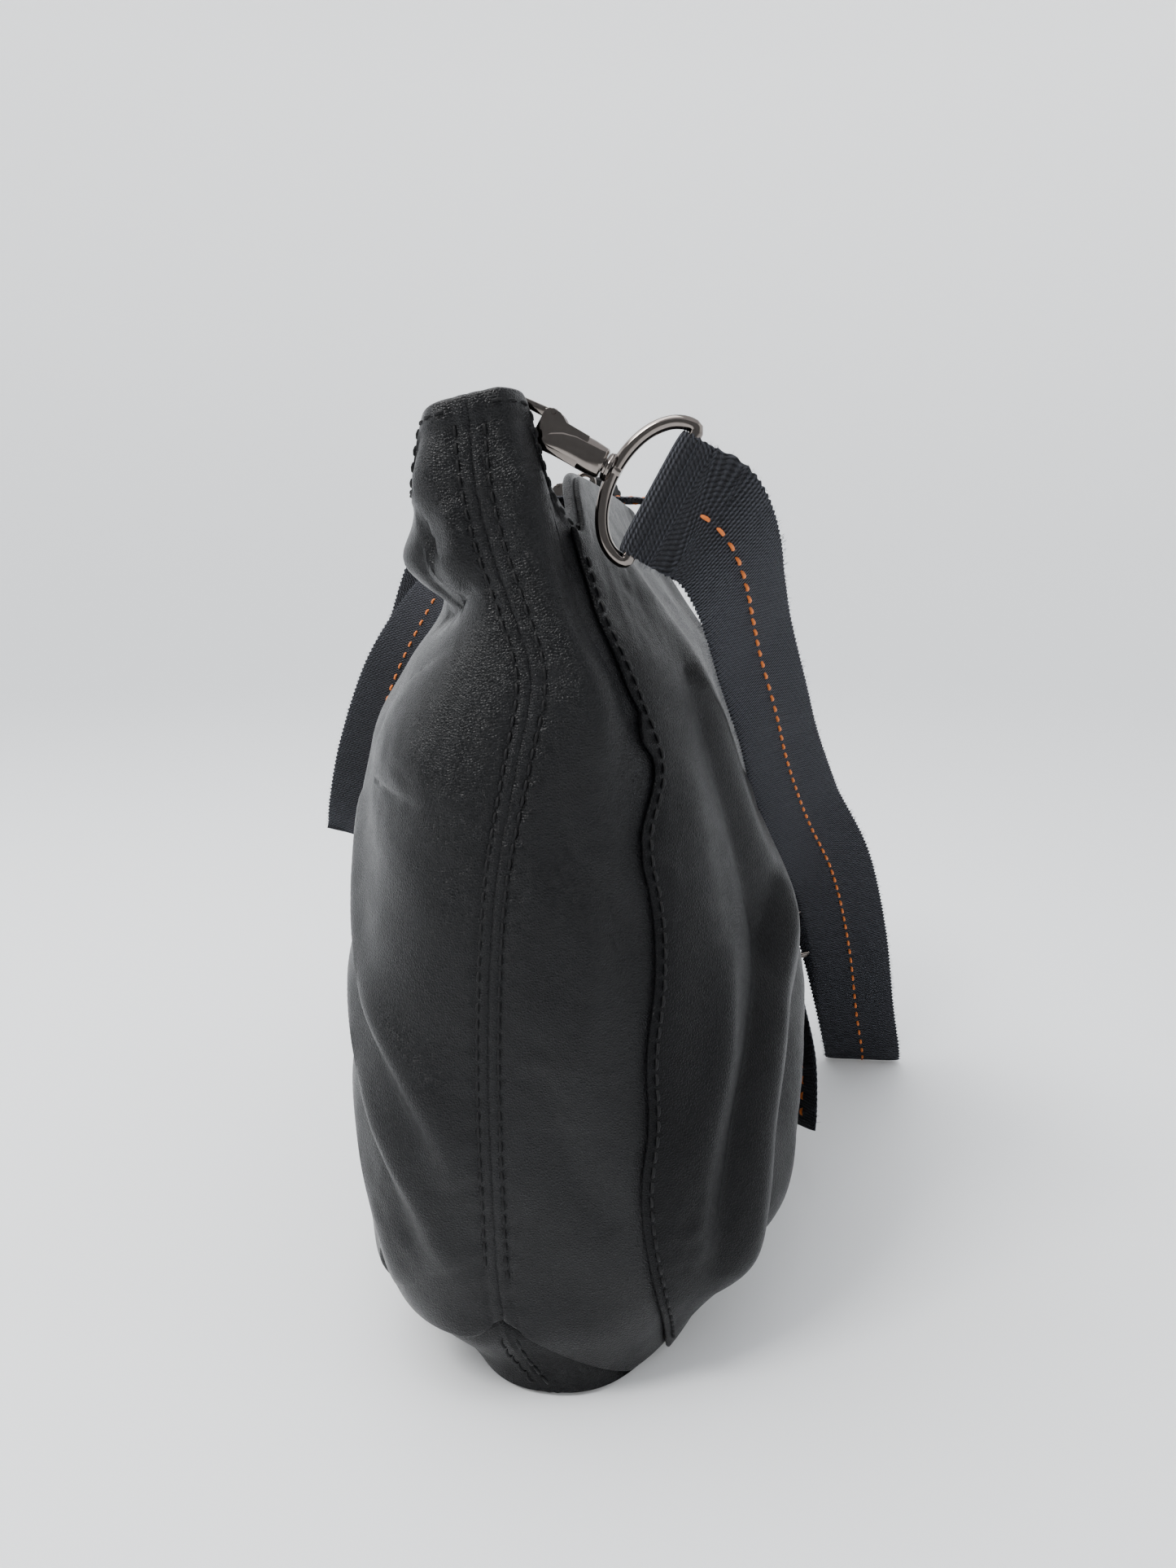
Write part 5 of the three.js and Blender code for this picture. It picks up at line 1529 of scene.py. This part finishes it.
class BagSizes(bpy.types.PropertyGroup):
    """Sizes that a maker would change."""

    leather: length_property("Leather thickness", "Thickness of the wall panels", 0.002)
    detail: length_property("Mesh spacing", "Spacing of the leather's mesh near the ends", 0.0013)
    stitch: length_property("Stitch length", "Length of each topstitch in the leather", 0.0038)
    stitch_gap: length_property("Stitch gap", "Gap between two topstitches", 0.0009)
    thread: length_property("Thread thickness", "Thickness of the topstitching thread", 0.00105)
    webbing_width: length_property("Webbing width", "Width of the strap", 0.038)
    webbing_thickness: length_property("Webbing thickness", "Thickness of the strap", 0.0021)
    dash_pitch: length_property("Orange stitch pitch", "Distance between two orange stitches", 0.0065)
    dash: length_property("Orange stitch length", "Length of each orange stitch", 0.0034)
    dash_thread: length_property("Orange thread thickness", "Thickness of the orange thread", 0.0012)
    lint: length_property("Lint length", "Length of the strap's longest loose fibres", 0.0022)


def color_property(key):
    name = key.replace("_", " ").capitalize()
    return FloatVectorProperty(name=name, description=f"Colour of the {name.lower()}", subtype="COLOR",
                               default=COLORS[key], min=0, max=1)


class BagColors(bpy.types.PropertyGroup):
    """Colours of the finishes."""

    leather: color_property("leather")
    pocket: color_property("pocket")
    lining: color_property("lining")
    zip_tape: color_property("zip_tape")
    webbing: color_property("webbing")
    metal: color_property("metal")
    leather_thread: color_property("leather_thread")
    strap_thread: color_property("strap_thread")
    lint: color_property("lint")
    board: color_property("board")
    floor: color_property("floor")


class BagStage(bpy.types.PropertyGroup):
    """Strengths of the studio's lights."""

    top_power: FloatProperty(name="Top light", description="Power of the top softbox", default=26,
                             min=0, unit="POWER")
    front_power: FloatProperty(name="Front light", description="Power of the front softbox", default=24,
                               min=0, unit="POWER")
    side_power: FloatProperty(name="Side lights", description="Power of the left softbox, the stronger one",
                              default=1.4, min=0, unit="POWER")
    sky_strength: FloatProperty(name="Sky strength", description="Strength of the light all round",
                                default=1.15, min=0)
    sky: FloatVectorProperty(name="Sky", description="Colour of the light all round", subtype="COLOR",
                             default=(0.93, 0.95, 1.0), min=0, max=1)


class BAG_OT_camera(bpy.types.Operator):
    """Places the camera before the near end"""

    bl_idname = "bag.camera"
    bl_label = "Camera"

    def execute(self, context):
        build_camera()
        return {"FINISHED"}


class BAG_OT_stage(bpy.types.Operator):
    """Makes the floor and the lights"""

    bl_idname = "bag.stage"
    bl_label = "Studio"

    def execute(self, context):
        build_stage(context.scene.bag_stage)
        return {"FINISHED"}


class BAG_OT_base(bpy.types.Operator):
    """Makes the base leather with its end tongues"""

    bl_idname = "bag.base"
    bl_label = "Base"

    def execute(self, context):
        build_base()
        return {"FINISHED"}


class BAG_OT_panels(bpy.types.Operator):
    """Makes the front, back and pocket leather"""

    bl_idname = "bag.panels"
    bl_label = "Wall Panels"

    def execute(self, context):
        build_panels(context.scene.bag_sizes)
        return {"FINISHED"}


class BAG_OT_leather_stitches(bpy.types.Operator):
    """Sews the seams, the hems and the pocket's edge"""

    bl_idname = "bag.leather_stitches"
    bl_label = "Leather Stitches"

    def execute(self, context):
        build_leather_stitches(context.scene.bag_sizes)
        return {"FINISHED"}


class BAG_OT_lining(bpy.types.Operator):
    """Makes the lining and its slip pocket"""

    bl_idname = "bag.lining"
    bl_label = "Lining"

    def execute(self, context):
        build_lining()
        return {"FINISHED"}


class BAG_OT_seam_tapes(bpy.types.Operator):
    """Makes the tapes behind the end seams"""

    bl_idname = "bag.seam_tapes"
    bl_label = "Seam Tapes"

    def execute(self, context):
        build_seam_tapes()
        return {"FINISHED"}


class BAG_OT_zip(bpy.types.Operator):
    """Makes the zip's facings, tapes, teeth and stitching"""

    bl_idname = "bag.zip"
    bl_label = "Zip"

    def execute(self, context):
        build_zip(context.scene.bag_sizes)
        return {"FINISHED"}


class BAG_OT_fittings(bpy.types.Operator):
    """Makes both snap hooks, holders, rings and tabs"""

    bl_idname = "bag.fittings"
    bl_label = "Hooks and Rings"

    def execute(self, context):
        build_fittings()
        return {"FINISHED"}


class BAG_OT_strap(bpy.types.Operator):
    """Weaves the strap, its tail, end loops, stitches and lint"""

    bl_idname = "bag.strap"
    bl_label = "Strap"

    def execute(self, context):
        build_strap(context.scene.bag_sizes)
        return {"FINISHED"}


class BAG_OT_adjuster(bpy.types.Operator):
    """Makes the strap's sliding adjuster"""

    bl_idname = "bag.adjuster"
    bl_label = "Strap Adjuster"

    def execute(self, context):
        build_adjuster()
        return {"FINISHED"}


class BAG_OT_frame_finishes(bpy.types.Operator):
    """Gives the frame's own parts their finishes"""

    bl_idname = "bag.frame_finishes"
    bl_label = "Frame Finishes"

    def execute(self, context):
        finish_frame_nodes()
        return {"FINISHED"}


OPERATORS = [
    BAG_OT_camera, BAG_OT_stage, BAG_OT_base, BAG_OT_panels, BAG_OT_leather_stitches, BAG_OT_lining,
    BAG_OT_seam_tapes, BAG_OT_zip, BAG_OT_fittings, BAG_OT_strap, BAG_OT_adjuster, BAG_OT_frame_finishes,
]


class BAG_PT_panel(bpy.types.Panel):
    """Lists the bag's pieces and settings."""

    bl_label = "Shoulder Bag"
    bl_idname = "BAG_PT_panel"
    bl_space_type = "VIEW_3D"
    bl_region_type = "UI"
    bl_category = "Shoulder Bag"

    def draw(self, context):
        for operator in OPERATORS:
            self.layout.operator(operator.bl_idname)
        for settings in (context.scene.bag_sizes, context.scene.bag_colors, context.scene.bag_stage):
            for key in settings.__annotations__:
                self.layout.prop(settings, key)


SETTINGS = {"bag_sizes": BagSizes, "bag_colors": BagColors, "bag_stage": BagStage}


def register():
    for cls in [*SETTINGS.values(), *OPERATORS, BAG_PT_panel]:
        bpy.utils.register_class(cls)
    for name, cls in SETTINGS.items():
        setattr(bpy.types.Scene, name, PointerProperty(type=cls))


def unregister():
    for name in SETTINGS:
        delattr(bpy.types.Scene, name)
    for cls in reversed([*SETTINGS.values(), *OPERATORS, BAG_PT_panel]):
        bpy.utils.unregister_class(cls)


def main():
    register()
    for operator in OPERATORS:
        group, name = operator.bl_idname.split(".")
        getattr(getattr(bpy.ops, group), name)()


if __name__ == "__main__":
    main()
